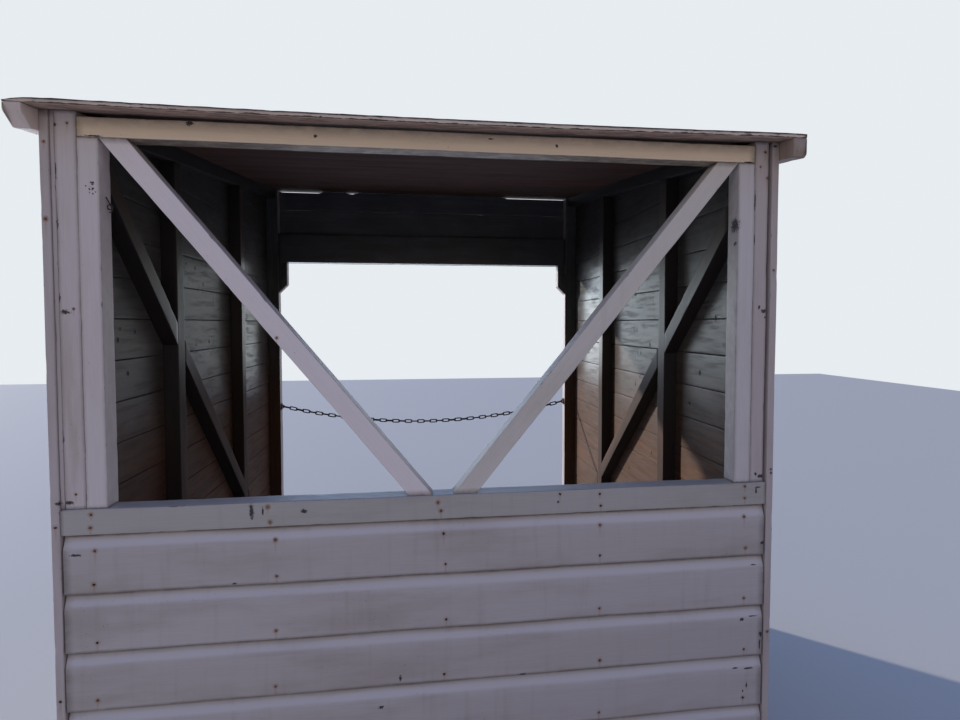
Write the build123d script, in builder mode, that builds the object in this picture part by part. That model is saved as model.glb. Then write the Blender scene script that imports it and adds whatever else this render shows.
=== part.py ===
from build123d import *
from math import asinh, cos, cosh, hypot, radians, sin, sinh, tan
import os

# Open timber shelter with a single-pitch roof. Millimetres, Z up. The rear wall, with its braced
# hatch, faces -Y; the open front with its chain faces +Y. The origin is on the ground, under the
# middle of the roof.

# Whole shelter
half_width = 924.5            # middle of the shelter to the outer edge of a corner trim
body_depth = 1650.0           # face of the rear boards to face of the front boards
roof_gap = 11.5               # top of the head rail to the roof, over the face of the rear wall
roof_pitch = 8.0              # degrees, rising to the front
eaves_overhang = 55.0         # roof boards beyond the rear and the front face
timber = 47.0                 # square framing timber

# Rear wall
board_cover = 143.5           # height that each weatherboard covers
board_count = 7
board_thickness = 20.0
cove_height = 36.0            # hollow moulding along the top of each board
cove_depth = 9.0
cove_belly_depth = 0.72       # share of the cove's depth that its middle point lies at
cove_belly_height = 0.42      # share of the cove's height
lap_height = 8.0              # tongue that stands up behind the board above
lap_clearance = 0.5
joint_line = 1.5              # open line between a board and the one above
board_end_gap = 3.0           # boards stop short of the corner trims
sill_height = 62.0
hatch_height = 879.0          # top of the sill rail to underside of the head rail
frame_setback = 4.0           # jambs and head rail behind the face of the boards
trim_width = 19.5             # corner trim beside the boards
left_slip_width = 10.5        # part of the trim beside the corner post, over the sill rail
right_slip_width = 8.5
left_slip_recess = 0.0        # slip behind the face of the post
right_slip_recess = 12.0
right_post_width = 40.0
brace_gap = 52.0              # between the feet of the two hatch braces
brace_middle = 4.0            # middle of that gap, right of the shelter's middle
rear_stud_spacing = 416.0

# Side walls
side_board_cover = 111.0
side_first_cover = 80.0       # the lowest board is ripped down
side_board_thickness = 25.0
side_inset = 45.5             # outer edge of a corner trim to the outer face of the side boards
side_cove_height = 26.0
side_stud_1 = 411.0           # from the face of the rear wall to each stud
side_stud_2 = 1018.0
left_brace_top = 132.0        # middle of the brace below the roof, at the rear end
right_brace_top = 204.0
left_brace_foot = 163.0       # middle of the brace above the ground, at the front end
right_brace_foot = 234.0

# Front
post_width = 60.0
front_clear_height = 1841.0   # ground to the underside of the front beam
front_beam_height = 150.0
corbel_width = 44.0
corbel_drop = 121.0           # straight edge of a corbel, above its 45 degree cut
slit_height = 10.0            # daylight gaps over the top front board
slit_left = (-790.0, -575.0)
slit_middle = (-450.0, -370.0)
slit_right = (447.0, 800.0)

# Roof
deck_thickness = 10.0
deck_board_cover = 119.0
deck_groove = 2.0
felt_thickness = 3.0
barge_thickness = 38.0
barge_height = 50.0
barge_chamfer = 9.0
batten_thickness = 12.0       # lath along the edge of the roof boards, at their level

# Chain across the front
chain_wire = 6.0
chain_link_width = 21.0
chain_links = 45
chain_height = 1056.0         # of the staples that it hangs from
chain_sag = 98.0
chain_play = 0.3
chain_end_corner = 45.0       # degrees turned at each corner of a link's end
staple_reach = 18.0
staple_plate = 34.0
staple_plate_thickness = 2.5

# Levels and places that follow from the sizes above
rear_face = -body_depth / 2
front_face = body_depth / 2
sill_bottom = board_count * board_cover
sill_top = sill_bottom + sill_height
head_bottom = sill_top + hatch_height
frame_face = rear_face + frame_setback
frame_back = frame_face + timber
board_back = rear_face + board_thickness
stud_back = board_back + timber
roof_low = head_bottom + timber + roof_gap
board_end = half_width - trim_width
left_post_edge = -board_end + left_slip_width
right_post_edge = board_end - right_slip_width
left_jamb_edge = left_post_edge + timber
right_jamb_edge = right_post_edge - right_post_width
hatch_left = left_jamb_edge + timber
hatch_right = right_jamb_edge - timber
wall_outer = half_width - side_inset
wall_inner = wall_outer - side_board_thickness
stud_inner = wall_inner - timber
post_inner = wall_inner - post_width
post_front = front_face - board_thickness
post_back = post_front - timber
slope = tan(radians(roof_pitch))
tall = roof_low + body_depth * slope + timber


def roof_under(y):
    """Height of the underside of the roof at a distance y from the middle."""
    return roof_low + (y - rear_face) * slope


roof_plane = Plane(
    origin=(0, rear_face, roof_low),
    x_dir=(1, 0, 0),
    z_dir=(0, -sin(radians(roof_pitch)), cos(radians(roof_pitch))),
)


def box_between(x0, x1, y0, y1, z0, z1):
    """Straight timber between two corners, added to the current part."""
    with BuildSketch(Plane.XY.offset(z0)) as end:
        with Locations(((x0 + x1) / 2, (y0 + y1) / 2)):
            Rectangle(abs(x1 - x0), abs(y1 - y0))
    extrude(end.sketch, amount=z1 - z0)


def slanted_cut(run, rise, width):
    """Level width of the cut ends of a brace of the given width, fitted into run by rise."""
    reach = rise * (run**2 + rise**2 - width**2) ** 0.5
    return width * (reach - width * run) / (rise**2 - width**2)


def save(piece, label):
    piece.part.label = label
    export_step(piece.part, f"parts/{label}.step")


def board_outline(z0, cover, thickness, cove, lap):
    """Outline of one weatherboard's section, with its face at 0 and its back at its thickness."""
    tongue = thickness - cove_depth - lap_clearance
    cove_start = z0 + cover - joint_line - cove
    cove_end = z0 + cover - joint_line
    inner = thickness - tongue
    with BuildLine() as outline:
        rise = Line((0, z0), (0, cove_start))
        hollow = ThreePointArc(
            rise @ 1,
            (cove_depth * cove_belly_depth, cove_start + cove * cove_belly_height),
            (cove_depth + lap_clearance, cove_end),
        )
        Polyline(
            hollow @ 1,
            (inner, z0 + cover + lap),
            (thickness, z0 + cover + lap),
            (thickness, z0 + lap + lap_clearance * 2),
            (cove_depth, z0 + lap + lap_clearance * 2),
            (cove_depth, z0),
            (0, z0),
        )
    return outline.line


def panel_outline(z0, cover, thickness, cove):
    """Outline of one board of a panel: hollow moulding outside, flat inside with a joint line."""
    cove_end = z0 + cover - joint_line
    cove_start = cove_end - cove
    with BuildLine() as outline:
        rise = Line((0, z0), (0, cove_start))
        hollow = ThreePointArc(
            rise @ 1,
            (cove_depth * cove_belly_depth, cove_start + cove * cove_belly_height),
            (cove_depth, cove_end),
        )
        Polyline(
            hollow @ 1,
            (cove_depth, z0 + cover),
            (thickness - joint_line, z0 + cover),
            (thickness, z0 + cover - joint_line),
            (thickness, z0 + joint_line),
            (thickness - joint_line, z0),
            (0, z0),
        )
    return outline.line


os.makedirs("parts", exist_ok=True)

# Rear weatherboards, from the ground up to the sill rail. The lowest has no rebate and the top one
# no tongue, so that they stand on the ground and butt under the rail.
rear_boards_plane = Plane(
    origin=(-board_end + board_end_gap, rear_face, 0), x_dir=(0, 1, 0), z_dir=(1, 0, 0)
)
rebate_height = lap_height + 2 * lap_clearance
with BuildPart() as rear_boards:
    with BuildSketch(rear_boards_plane):
        for row in range(board_count):
            level = row * board_cover
            add(board_outline(level, board_cover, board_thickness, cove_height, lap_height))
            make_face()
        with Locations((board_thickness / 2, rebate_height / 2)):
            Rectangle(board_thickness, rebate_height)
        with Locations((board_thickness / 2, sill_bottom + lap_height)):
            Rectangle(board_thickness, 2 * lap_height, mode=Mode.SUBTRACT)
    extrude(amount=2 * (board_end - board_end_gap))
save(rear_boards, "rear_boards")

# Sill rail on top of the boards, with its ends between the corner trims.
with BuildPart() as sill_rail:
    box_between(-board_end, board_end, rear_face, frame_back, sill_bottom, sill_top)
save(sill_rail, "rear_sill_rail")

# Jambs of the hatch stand on the sill rail, under the head rail.
for side, outer, inner in (
    ("left", left_jamb_edge, hatch_left),
    ("right", right_jamb_edge, hatch_right),
):
    with BuildPart() as jamb:
        box_between(outer, inner, frame_face, frame_back, sill_top, head_bottom)
    save(jamb, f"rear_jamb_{side}")

# Corner posts beside the jambs run up to the roof.
for side, outer, inner in (
    ("left", left_post_edge, left_jamb_edge),
    ("right", right_post_edge, right_jamb_edge),
):
    with BuildPart() as corner_post:
        box_between(outer, inner, frame_face, frame_back, sill_top, tall)
        split(bisect_by=roof_plane, keep=Keep.BOTTOM)
    save(corner_post, f"rear_corner_post_{side}")

# Head rail between the corner posts, with an open gap between its top and the roof.
head_top = head_bottom + timber
with BuildPart() as head_rail:
    box_between(left_jamb_edge, right_jamb_edge, frame_face, frame_back, head_bottom, head_top)
save(head_rail, "rear_head_rail")

# The two braces of the hatch stand in a V between the sill rail and the head rail.
for side, top_x, foot_x in (
    ("left", hatch_left, brace_middle - brace_gap / 2),
    ("right", hatch_right, brace_middle + brace_gap / 2),
):
    lean = 1 if side == "left" else -1
    cut = slanted_cut(abs(foot_x - top_x), hatch_height, timber)
    with BuildPart() as brace:
        with BuildSketch(Plane.XZ.offset(-frame_back)):
            with BuildLine():
                Polyline(
                    (top_x, head_bottom),
                    (top_x + lean * cut, head_bottom),
                    (foot_x, sill_top),
                    (foot_x - lean * cut, sill_top),
                    (top_x, head_bottom),
                )
            make_face()
        extrude(amount=timber)
    save(brace, f"rear_brace_{side}")

# Frame behind the rear boards: a plate on the ground, two corner studs and three between them.
with BuildPart() as rear_plate:
    box_between(-wall_inner, wall_inner, board_back, stud_back, 0, timber)
save(rear_plate, "rear_bottom_plate")

for side, outer in (("left", -wall_inner), ("right", wall_inner)):
    inner = outer + timber if side == "left" else outer - timber
    with BuildPart() as corner_stud:
        box_between(outer, inner, board_back, stud_back, timber, sill_bottom)
    save(corner_stud, f"rear_corner_stud_{side}")

for side, place in (("left", -1), ("middle", 0), ("right", 1)):
    start = brace_middle + place * rear_stud_spacing - timber / 2
    with BuildPart() as rear_stud:
        box_between(start, start + timber, board_back, stud_back, timber, sill_bottom)
    save(rear_stud, f"rear_stud_{side}")

# Side walls: a single skin of horizontal boards, notched at the rear round the corner post.
side_rows = int((tall - side_first_cover) / side_board_cover) + 2
for side, turn in (("left", -1), ("right", 1)):
    wall_end = Plane(
        origin=(turn * wall_outer, board_back, 0), x_dir=(-turn, 0, 0), z_dir=(0, turn, 0)
    )
    with BuildPart() as side_wall:
        with BuildSketch(wall_end):
            for row in range(side_rows):
                level = side_first_cover + (row - 1) * side_board_cover
                add(panel_outline(level, side_board_cover, side_board_thickness, side_cove_height))
                make_face()
        extrude(amount=turn * (post_front - board_back))
        split(bisect_by=Plane.XY, keep=Keep.TOP)
        split(bisect_by=roof_plane, keep=Keep.BOTTOM)
        with BuildSketch(Plane.XY.offset(sill_bottom)):
            with Locations((turn * (wall_inner + wall_outer) / 2, (board_back + frame_back) / 2)):
                Rectangle(timber, frame_back - board_back)
        extrude(amount=tall, mode=Mode.SUBTRACT)
    save(side_wall, f"{side}_wall_boards")

# Frame of each side wall: bottom plate, two studs, top plate under the roof.
for side, turn in (("left", -1), ("right", 1)):
    inner = turn * stud_inner
    outer = turn * wall_inner
    with BuildPart() as bottom_plate:
        box_between(inner, outer, stud_back, post_back, 0, timber)
    save(bottom_plate, f"{side}_bottom_plate")
    for place, distance in (("rear", side_stud_1), ("front", side_stud_2)):
        start = rear_face + distance
        with BuildPart() as stud:
            box_between(inner, outer, start, start + timber, timber, tall)
            split(bisect_by=roof_plane.offset(-timber), keep=Keep.BOTTOM)
        save(stud, f"{side}_stud_{place}")
    with BuildPart() as top_plate:
        box_between(inner, outer, frame_back, post_back, sill_top, tall)
        split(bisect_by=roof_plane, keep=Keep.BOTTOM)
        split(bisect_by=roof_plane.offset(-timber), keep=Keep.TOP)
    save(top_plate, f"{side}_top_plate")

# One brace in each side wall falls from the roof at the rear to the ground at the front, cut into
# three lengths between the studs.
bays = (
    (frame_back, rear_face + side_stud_1),
    (rear_face + side_stud_1 + timber, rear_face + side_stud_2),
    (rear_face + side_stud_2 + timber, post_back),
)
for side, start, top, foot in (
    ("left", -wall_inner, left_brace_top, left_brace_foot),
    ("right", stud_inner, right_brace_top, right_brace_foot),
):
    brace_start = roof_under(frame_back) - top
    brace_slope = (brace_start - foot) / (post_back - frame_back)
    brace_half = timber / 2 * hypot(1, brace_slope)
    with BuildPart() as side_brace:
        with BuildSketch(Plane.YZ.offset(start)):
            for near, far in bays:
                near_level = brace_start - (near - frame_back) * brace_slope
                far_level = brace_start - (far - frame_back) * brace_slope
                with BuildLine():
                    Polyline(
                        (near, near_level - brace_half),
                        (near, near_level + brace_half),
                        (far, far_level + brace_half),
                        (far, far_level - brace_half),
                        (near, near_level - brace_half),
                    )
                make_face()
        extrude(amount=timber)
    save(side_brace, f"{side}_wall_brace")

# Corner trims cover the ends of the rear boards. Each is rebated: the part behind the boards packs
# out the side wall, and over the sill rail a slip of it fills in beside the corner post.
for side, turn, post_edge, recess in (
    ("left", -1, left_post_edge, left_slip_recess),
    ("right", 1, right_post_edge, right_slip_recess),
):
    outer = turn * half_width
    inner = turn * board_end
    with BuildPart() as rear_trim:
        box_between(inner, outer, rear_face, frame_back, 0, tall)
        box_between(turn * wall_outer, inner, board_back, frame_back, 0, sill_bottom)
        box_between(post_edge, inner, frame_face + recess, frame_back, sill_top, tall)
        split(bisect_by=roof_plane, keep=Keep.BOTTOM)
    save(rear_trim, f"rear_corner_trim_{side}")

for side, turn in (("left", -1), ("right", 1)):
    with BuildPart() as front_trim:
        box_between(
            turn * wall_outer,
            turn * half_width,
            front_face - (frame_back - rear_face),
            front_face,
            0,
            tall,
        )
        split(bisect_by=roof_plane, keep=Keep.BOTTOM)
    save(front_trim, f"front_corner_trim_{side}")

# Front posts, with a beam between them and a corbel under each end of the beam.
for side, turn in (("left", -1), ("right", 1)):
    with BuildPart() as front_post:
        box_between(turn * post_inner, turn * wall_inner, post_back, post_front, 0, tall)
        split(bisect_by=roof_plane, keep=Keep.BOTTOM)
    save(front_post, f"front_post_{side}")

with BuildPart() as front_beam:
    box_between(
        -post_inner,
        post_inner,
        post_back,
        post_front,
        front_clear_height,
        front_clear_height + front_beam_height,
    )
save(front_beam, "front_beam")

for side, turn in (("left", -1), ("right", 1)):
    edge = turn * post_inner
    nose = turn * (post_inner - corbel_width)
    with BuildPart() as corbel:
        with BuildSketch(Plane.XZ.offset(-post_front)):
            with BuildLine():
                Polyline(
                    (edge, front_clear_height),
                    (nose, front_clear_height),
                    (nose, front_clear_height - corbel_drop),
                    (edge, front_clear_height - corbel_drop - corbel_width),
                    (edge, front_clear_height),
                )
            make_face()
        extrude(amount=timber)
    save(corbel, f"front_corbel_{side}")

# Boards over the front opening. Daylight shows through the gaps between the top one and the roof.
front_rows = int((tall - front_clear_height) / board_cover) + 1
with BuildPart() as front_boards:
    with BuildSketch(
        Plane(origin=(wall_outer, front_face, 0), x_dir=(0, -1, 0), z_dir=(-1, 0, 0))
    ):
        for row in range(front_rows):
            level = front_clear_height + row * board_cover
            add(panel_outline(level, board_cover, board_thickness, cove_height))
            make_face()
    extrude(amount=2 * wall_outer)
    split(bisect_by=roof_plane, keep=Keep.BOTTOM)
    slit_level = roof_under(post_front) - slit_height
    with BuildSketch(Plane.XY.offset(slit_level)):
        for start, end in (slit_left, slit_middle, slit_right):
            with Locations(((start + end) / 2, front_face)):
                Rectangle(end - start, 4 * board_thickness)
    extrude(amount=tall, mode=Mode.SUBTRACT)
save(front_boards, "front_boards")

# Roof: boards laid across, closed by a lath along the rear and the front edge, with a barge board
# under each end and one sheet of felt on top.
roof_half = half_width + barge_thickness
deck_rise = deck_thickness / cos(radians(roof_pitch))
felt_rise = felt_thickness / cos(radians(roof_pitch))
barge_drop = barge_height / cos(radians(roof_pitch))
roof_rear = rear_face - eaves_overhang
roof_front = front_face + eaves_overhang


def sloping_outline(start, end, low, high):
    """Outline between two distances from the middle and two heights over the roof's underside."""
    with BuildLine() as outline:
        Polyline(
            (start, roof_under(start) + low),
            (start, roof_under(start) + high),
            (end, roof_under(end) + high),
            (end, roof_under(end) + low),
            (start, roof_under(start) + low),
        )
    return outline.line


deck_rear = roof_rear + batten_thickness
deck_front = roof_front - batten_thickness
deck_step = deck_board_cover * cos(radians(roof_pitch))
deck_rows = int((deck_front - deck_rear) / deck_step)
deck_joints = [deck_rear + (row + 1) * deck_step for row in range(deck_rows)]
with BuildPart() as roof_deck:
    with BuildSketch(Plane.YZ.offset(-roof_half)):
        add(sloping_outline(deck_rear, deck_front, 0, deck_rise))
        make_face()
        with Locations(*[(y, roof_under(y)) for y in deck_joints]):
            Rectangle(deck_groove, 2 * deck_groove, mode=Mode.SUBTRACT)
    extrude(amount=2 * roof_half)
save(roof_deck, "roof_boards")

for place, start in (("rear", roof_rear), ("front", deck_front)):
    with BuildPart() as batten:
        with BuildSketch(Plane.YZ.offset(-roof_half)):
            add(sloping_outline(start, start + batten_thickness, 0, deck_rise))
            make_face()
        extrude(amount=2 * roof_half)
    save(batten, f"roof_batten_{place}")

for side, start in (("left", -roof_half), ("right", half_width)):
    with BuildPart() as barge:
        with BuildSketch(Plane.YZ.offset(start)):
            add(sloping_outline(roof_rear, roof_front, -barge_drop, 0))
            make_face()
        extrude(amount=barge_thickness)
        corners = barge.edges().filter_by(Axis.X).sort_by(Axis.Y)
        rear_corner = corners[:2].sort_by(Axis.Z)[0]
        front_corner = corners[-2:].sort_by(Axis.Z)[0]
        chamfer((rear_corner, front_corner), barge_chamfer)
    save(barge, f"barge_board_{side}")

with BuildPart() as roof_felt:
    with BuildSketch(Plane.YZ.offset(-roof_half)):
        add(sloping_outline(roof_rear, roof_front, deck_rise, deck_rise + felt_rise))
        make_face()
    extrude(amount=2 * roof_half)
save(roof_felt, "roof_felt")

# Chain across the front: oval links of six-sided wire, each turned a quarter against its
# neighbours, along the catenary that hangs between two staples on the posts.
link_round = (chain_link_width - chain_wire) / 2
half_span = post_inner - staple_reach + chain_wire + chain_play
catenary = half_span**2 / (2 * chain_sag) + chain_sag / 6
half_length = catenary * sinh(half_span / catenary)
link_pitch = 2 * half_length / chain_links
link_straight = link_pitch + chain_play + chain_wire - 2 * link_round
chain_y = (post_back + post_front) / 2


def bent_wire(points, place=Plane.XY):
    """Six-sided wire along straight runs with mitred corners, added to the current part."""
    with BuildLine(place) as path:
        Polyline(*points)
    with BuildSketch(Plane(origin=path.line @ 0, z_dir=path.line % 0)) as section:
        RegularPolygon(chain_wire / 2, 6)
    sweep(section.sketch, path=path.line, transition=Transition.RIGHT)


def half_turn(x, start):
    """Four points of a half octagon about (x, 0), from a start angle, anticlockwise."""
    angles = [radians(start + chain_end_corner * (step + 0.5)) for step in range(4)]
    corner = link_round / cos(radians(chain_end_corner / 2))
    return [(x + corner * cos(a), corner * sin(a)) for a in angles]


with BuildPart() as link:
    right_end = half_turn(link_straight / 2, -90)
    left_end = half_turn(-link_straight / 2, 90)
    bent_wire([(0, -link_round)] + right_end + left_end + [(0, -link_round)])

link_places = []
for number in range(chain_links):
    along = (number - (chain_links - 1) / 2) * link_pitch
    x = catenary * asinh(along / catenary)
    z = chain_height - chain_sag + catenary * (cosh(x / catenary) - 1)
    tangent = Vector(1, 0, along / catenary)
    across = Vector(0, 1, 0)
    if number % 2:
        across = tangent.cross(across)
    link_places.append(Plane(origin=(x, chain_y, z), x_dir=tangent, z_dir=across).location)
with BuildPart() as front_chain:
    with Locations(*link_places):
        add(link.part)
save(front_chain, "front_chain")

# A staple on the inner face of each post holds the end link: a plate and a loop of wire.
for side, turn in (("left", -1), ("right", 1)):
    foot = (turn * post_inner, chain_y, chain_height)
    loop_middle = staple_reach - chain_wire / 2 - link_round
    with BuildPart() as staple:
        with BuildSketch(Plane(origin=foot, x_dir=(0, 1, 0), z_dir=(-turn, 0, 0))):
            Rectangle(staple_plate, staple_plate)
        extrude(amount=staple_plate_thickness)
        bent_wire(
            [(0, -link_round)] + half_turn(loop_middle, -90) + [(0, link_round)],
            Plane(origin=foot, x_dir=(-turn, 0, 0), z_dir=(0, 0, 1)),
        )
    save(staple, f"chain_staple_{side}")
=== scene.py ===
from math import asinh, cos, cosh, pi, radians, sin, sinh, tan

import bpy
import numpy as np
from mathutils import Matrix, Vector


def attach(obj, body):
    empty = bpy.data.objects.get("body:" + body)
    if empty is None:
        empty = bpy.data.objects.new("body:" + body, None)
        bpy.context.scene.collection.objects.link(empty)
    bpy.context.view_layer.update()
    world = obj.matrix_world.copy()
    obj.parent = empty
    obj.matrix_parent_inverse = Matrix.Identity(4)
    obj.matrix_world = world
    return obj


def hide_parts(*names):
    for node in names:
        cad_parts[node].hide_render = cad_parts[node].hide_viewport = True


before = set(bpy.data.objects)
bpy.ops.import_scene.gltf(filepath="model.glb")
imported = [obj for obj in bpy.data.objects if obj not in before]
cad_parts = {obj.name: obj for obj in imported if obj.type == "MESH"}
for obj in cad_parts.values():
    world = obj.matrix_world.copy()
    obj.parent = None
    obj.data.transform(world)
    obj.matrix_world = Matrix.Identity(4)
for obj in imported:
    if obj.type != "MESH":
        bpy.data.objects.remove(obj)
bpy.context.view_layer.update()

# Camera: eye height, a little left of the middle, behind the shelter. Its lens and turn were
# solved from the straight lines of the photograph.
EYE = (-0.0669, -2.1443, 1.509)
TURN_RIGHT = radians(6.944)
TILT_DOWN = radians(2.08)
ROLL = radians(0.04)
FOCAL_PIXELS = 516.8
MIDDLE_PIXEL = (477.8, 342.4)
PICTURE = (960, 720)

right = np.array([cos(TURN_RIGHT), -sin(TURN_RIGHT), 0.0])
forward = np.array([sin(TURN_RIGHT), cos(TURN_RIGHT), 0.0])
ahead = forward * cos(TILT_DOWN) - np.array([0.0, 0.0, sin(TILT_DOWN)])
up = np.cross(right, ahead)
right, up = right * cos(ROLL) - up * sin(ROLL), up * cos(ROLL) + right * sin(ROLL)
lens = bpy.data.cameras.new("photo_camera")
lens.sensor_width = 36.0
lens.lens = FOCAL_PIXELS / PICTURE[0] * lens.sensor_width
lens.shift_x = (PICTURE[0] / 2 - MIDDLE_PIXEL[0]) / PICTURE[0]
lens.shift_y = (MIDDLE_PIXEL[1] - PICTURE[1] / 2) / PICTURE[0]
lens.clip_start = 0.02
camera = bpy.data.objects.new("photo_camera", lens)
facing = Matrix((right, up, -ahead)).transposed().to_4x4()
camera.matrix_world = Matrix.Translation(EYE) @ facing
bpy.context.scene.collection.objects.link(camera)
bpy.context.scene.camera = camera


# Rear weatherboards: seven painted softwood boards, each with a hollow moulding along its top and a
# lip that laps the board below. They are nailed to the studs, and they stand on the ground.
class Socket:
    """A shader socket in Python sums: each operator adds the node that works it out."""

    def __init__(self, tree, socket):
        self.tree = tree
        self.socket = socket

    def node(self, kind, settings=None, values=None, out=0):
        """A node of a kind: first its settings, then the values or links of its sockets."""
        made = self.tree.nodes.new("ShaderNode" + kind)
        for key, value in (settings or {}).items():
            setattr(made, key, value)
        for key, value in (values or {}).items():
            if isinstance(value, Socket):
                self.tree.links.new(value.socket, made.inputs[key])
            else:
                made.inputs[key].default_value = value
        return Socket(self.tree, made.outputs[out])

    def math(self, operation, *others):
        values = dict(enumerate((self,) + others))
        return self.node("Math", {"operation": operation}, values)

    def __add__(self, other):
        return self.math("ADD", other)

    def __mul__(self, other):
        return self.math("MULTIPLY", other)

    def __sub__(self, other):
        return self.math("SUBTRACT", other)

    def __rsub__(self, other):
        return self * -1.0 + other

    __radd__ = __add__
    __rmul__ = __mul__

    def rise(self, low, high):
        """Mask that climbs smoothly from 0 at low to 1 at high, or falls if low is above high."""
        settings = {"interpolation_type": "SMOOTHSTEP"}
        if low < high:
            return self.node("MapRange", settings, {0: self, 1: low, 2: high})
        return 1.0 - self.node("MapRange", settings, {0: self, 1: high, 2: low})

    def stretched(self, x, y, z):
        """This vector with its three parts multiplied by three numbers."""
        return self.node("VectorMath", {"operation": "MULTIPLY"}, {0: self, 1: (x, y, z)})

    def noise(self, detail, roughness=0.5, scale=1.0):
        """Soft noise between about 0.25 and 0.75, read at this vector."""
        values = {"Vector": self, "Scale": scale, "Detail": detail, "Roughness": roughness}
        return self.node("TexNoise", {"noise_dimensions": "3D"}, values)

    def length(self):
        return self.node("VectorMath", {"operation": "LENGTH"}, {0: self}, out=1)

    def part(self, index):
        return self.node("SeparateXYZ", None, {0: self}, out=index)

    def place(self):
        """Place in metres, in the frame of the shelter."""
        return self.node("TexCoord", None, None, out=3)

    def held(self, name, out=1):
        """What the mesh holds under a name: a vector, or a single value as out 2."""
        return self.node("Attribute", {"attribute_name": name}, None, out=out)

    def blend(self, below, above):
        """Colour that goes from one colour to another as this mask goes from 0 to 1."""
        colours = [c if isinstance(c, Socket) else (*c, 1.0) for c in (below, above)]
        values = {0: self, 6: colours[0], 7: colours[1]}
        return self.node("Mix", {"data_type": "RGBA"}, values, out=2)


def new_finish(name):
    """A material, its empty shader, and a socket that gives the way to its nodes."""
    material = bpy.data.materials.new(name)
    material.use_nodes = True
    tree = material.node_tree
    shader = tree.nodes["Principled BSDF"]
    return material, shader, Socket(tree, shader.outputs[0])


def tinted(colour, tint):
    """A colour times a tint, which is one number or one for each channel."""
    return np.multiply(colour, tint).tolist()


def set_finish(start, shader, colour, roughness, height, depth):
    """Colour, roughness and bump onto the shader; depth is how far the bump goes, in metres."""
    bump = start.node("Bump", None, {"Strength": 1.0, "Distance": depth, "Height": height})
    for key, value in (("Base Color", colour), ("Roughness", roughness), ("Normal", bump)):
        start.tree.links.new(value.socket, shader.inputs[key])


def set_coat(start, shader, coat, roughness):
    """A clear sheen over the finish, as strong as coat says."""
    start.tree.links.new(coat.socket, shader.inputs["Coat Weight"])
    shader.inputs["Coat Roughness"].default_value = roughness


PLAIN = (1.0, 1.0, 1.0)
BARE_LIGHT = (0.290, 0.285, 0.275)
BARE_MIDDLE = (0.200, 0.198, 0.192)
BARE_DARK = (0.075, 0.064, 0.056)
BARE_BROWN = (0.310, 0.120, 0.038)
RUST = (0.300, 0.115, 0.040)
RUST_DARK = (0.030, 0.014, 0.010)
RUST_PALE = (0.270, 0.150, 0.060)
# Painted highlight up the coves of the boards.
COVE_HIGHLIGHT_COLOUR = (0.80, 0.79, 0.86)
SPECK = (0.07, 0.06, 0.055)
# Dirt, and painted shade in joints, recesses and under the eaves.
DIRT_AND_SHADE = (0.115, 0.085, 0.066)
KNOCKED = (0.030, 0.026, 0.026)
SEA_LIGHT = (-0.20, 0.55)
SPLASHED = (1.50, 1.22)
NAIL_CORE = (0.0040, 0.0026)
NAIL_HALO = (0.0100, 0.0035)
KNOCK_EDGE = (0.0062, 0.0036)


def bare_wood(start, grain, here, tint, roof_shade):
    """Weathered softwood: growth rings drawn out along the grain, grey above, browner below.

    The last argument is how much darker it is near the roof, as painted shade. The brown below is
    the wood's own colour, deepened to stand in for brown light reflected from the ground.
    """
    pale, middling = tinted(BARE_LIGHT, tint), tinted(BARE_MIDDLE, tint)
    brown, dark = tinted(BARE_BROWN, tint), tinted(BARE_DARK, tint)
    waver = grain.stretched(3.0, 24.0, 24.0).noise(2.0) * 0.9
    rings = (grain.stretched(1.2, 75.0, 60.0).noise(3.0, 0.55) + waver) * 9.0
    rings = rings.math("SINE").rise(-0.6, 1.0)
    fibre = grain.stretched(22.0, 700.0, 700.0).noise(3.0, 0.65)
    blotch = here.noise(4.0, 0.6, 3.2)
    light = blotch.rise(0.35, 0.65).blend(pale, middling)
    low = (here.part(2) + blotch * 0.5).rise(1.85, 1.15)
    light = (low * 0.85).blend(light, brown)
    wood = (rings * 0.30 + fibre.rise(0.52, 0.72) * 0.45).blend(light, dark)
    # Painted shade: darker near the roof.
    high = (here.part(2) + blotch * 0.3).rise(1.80, 2.15) * roof_shade
    return high.blend(wood, tinted(dark, 0.6)), fibre, high


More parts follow.
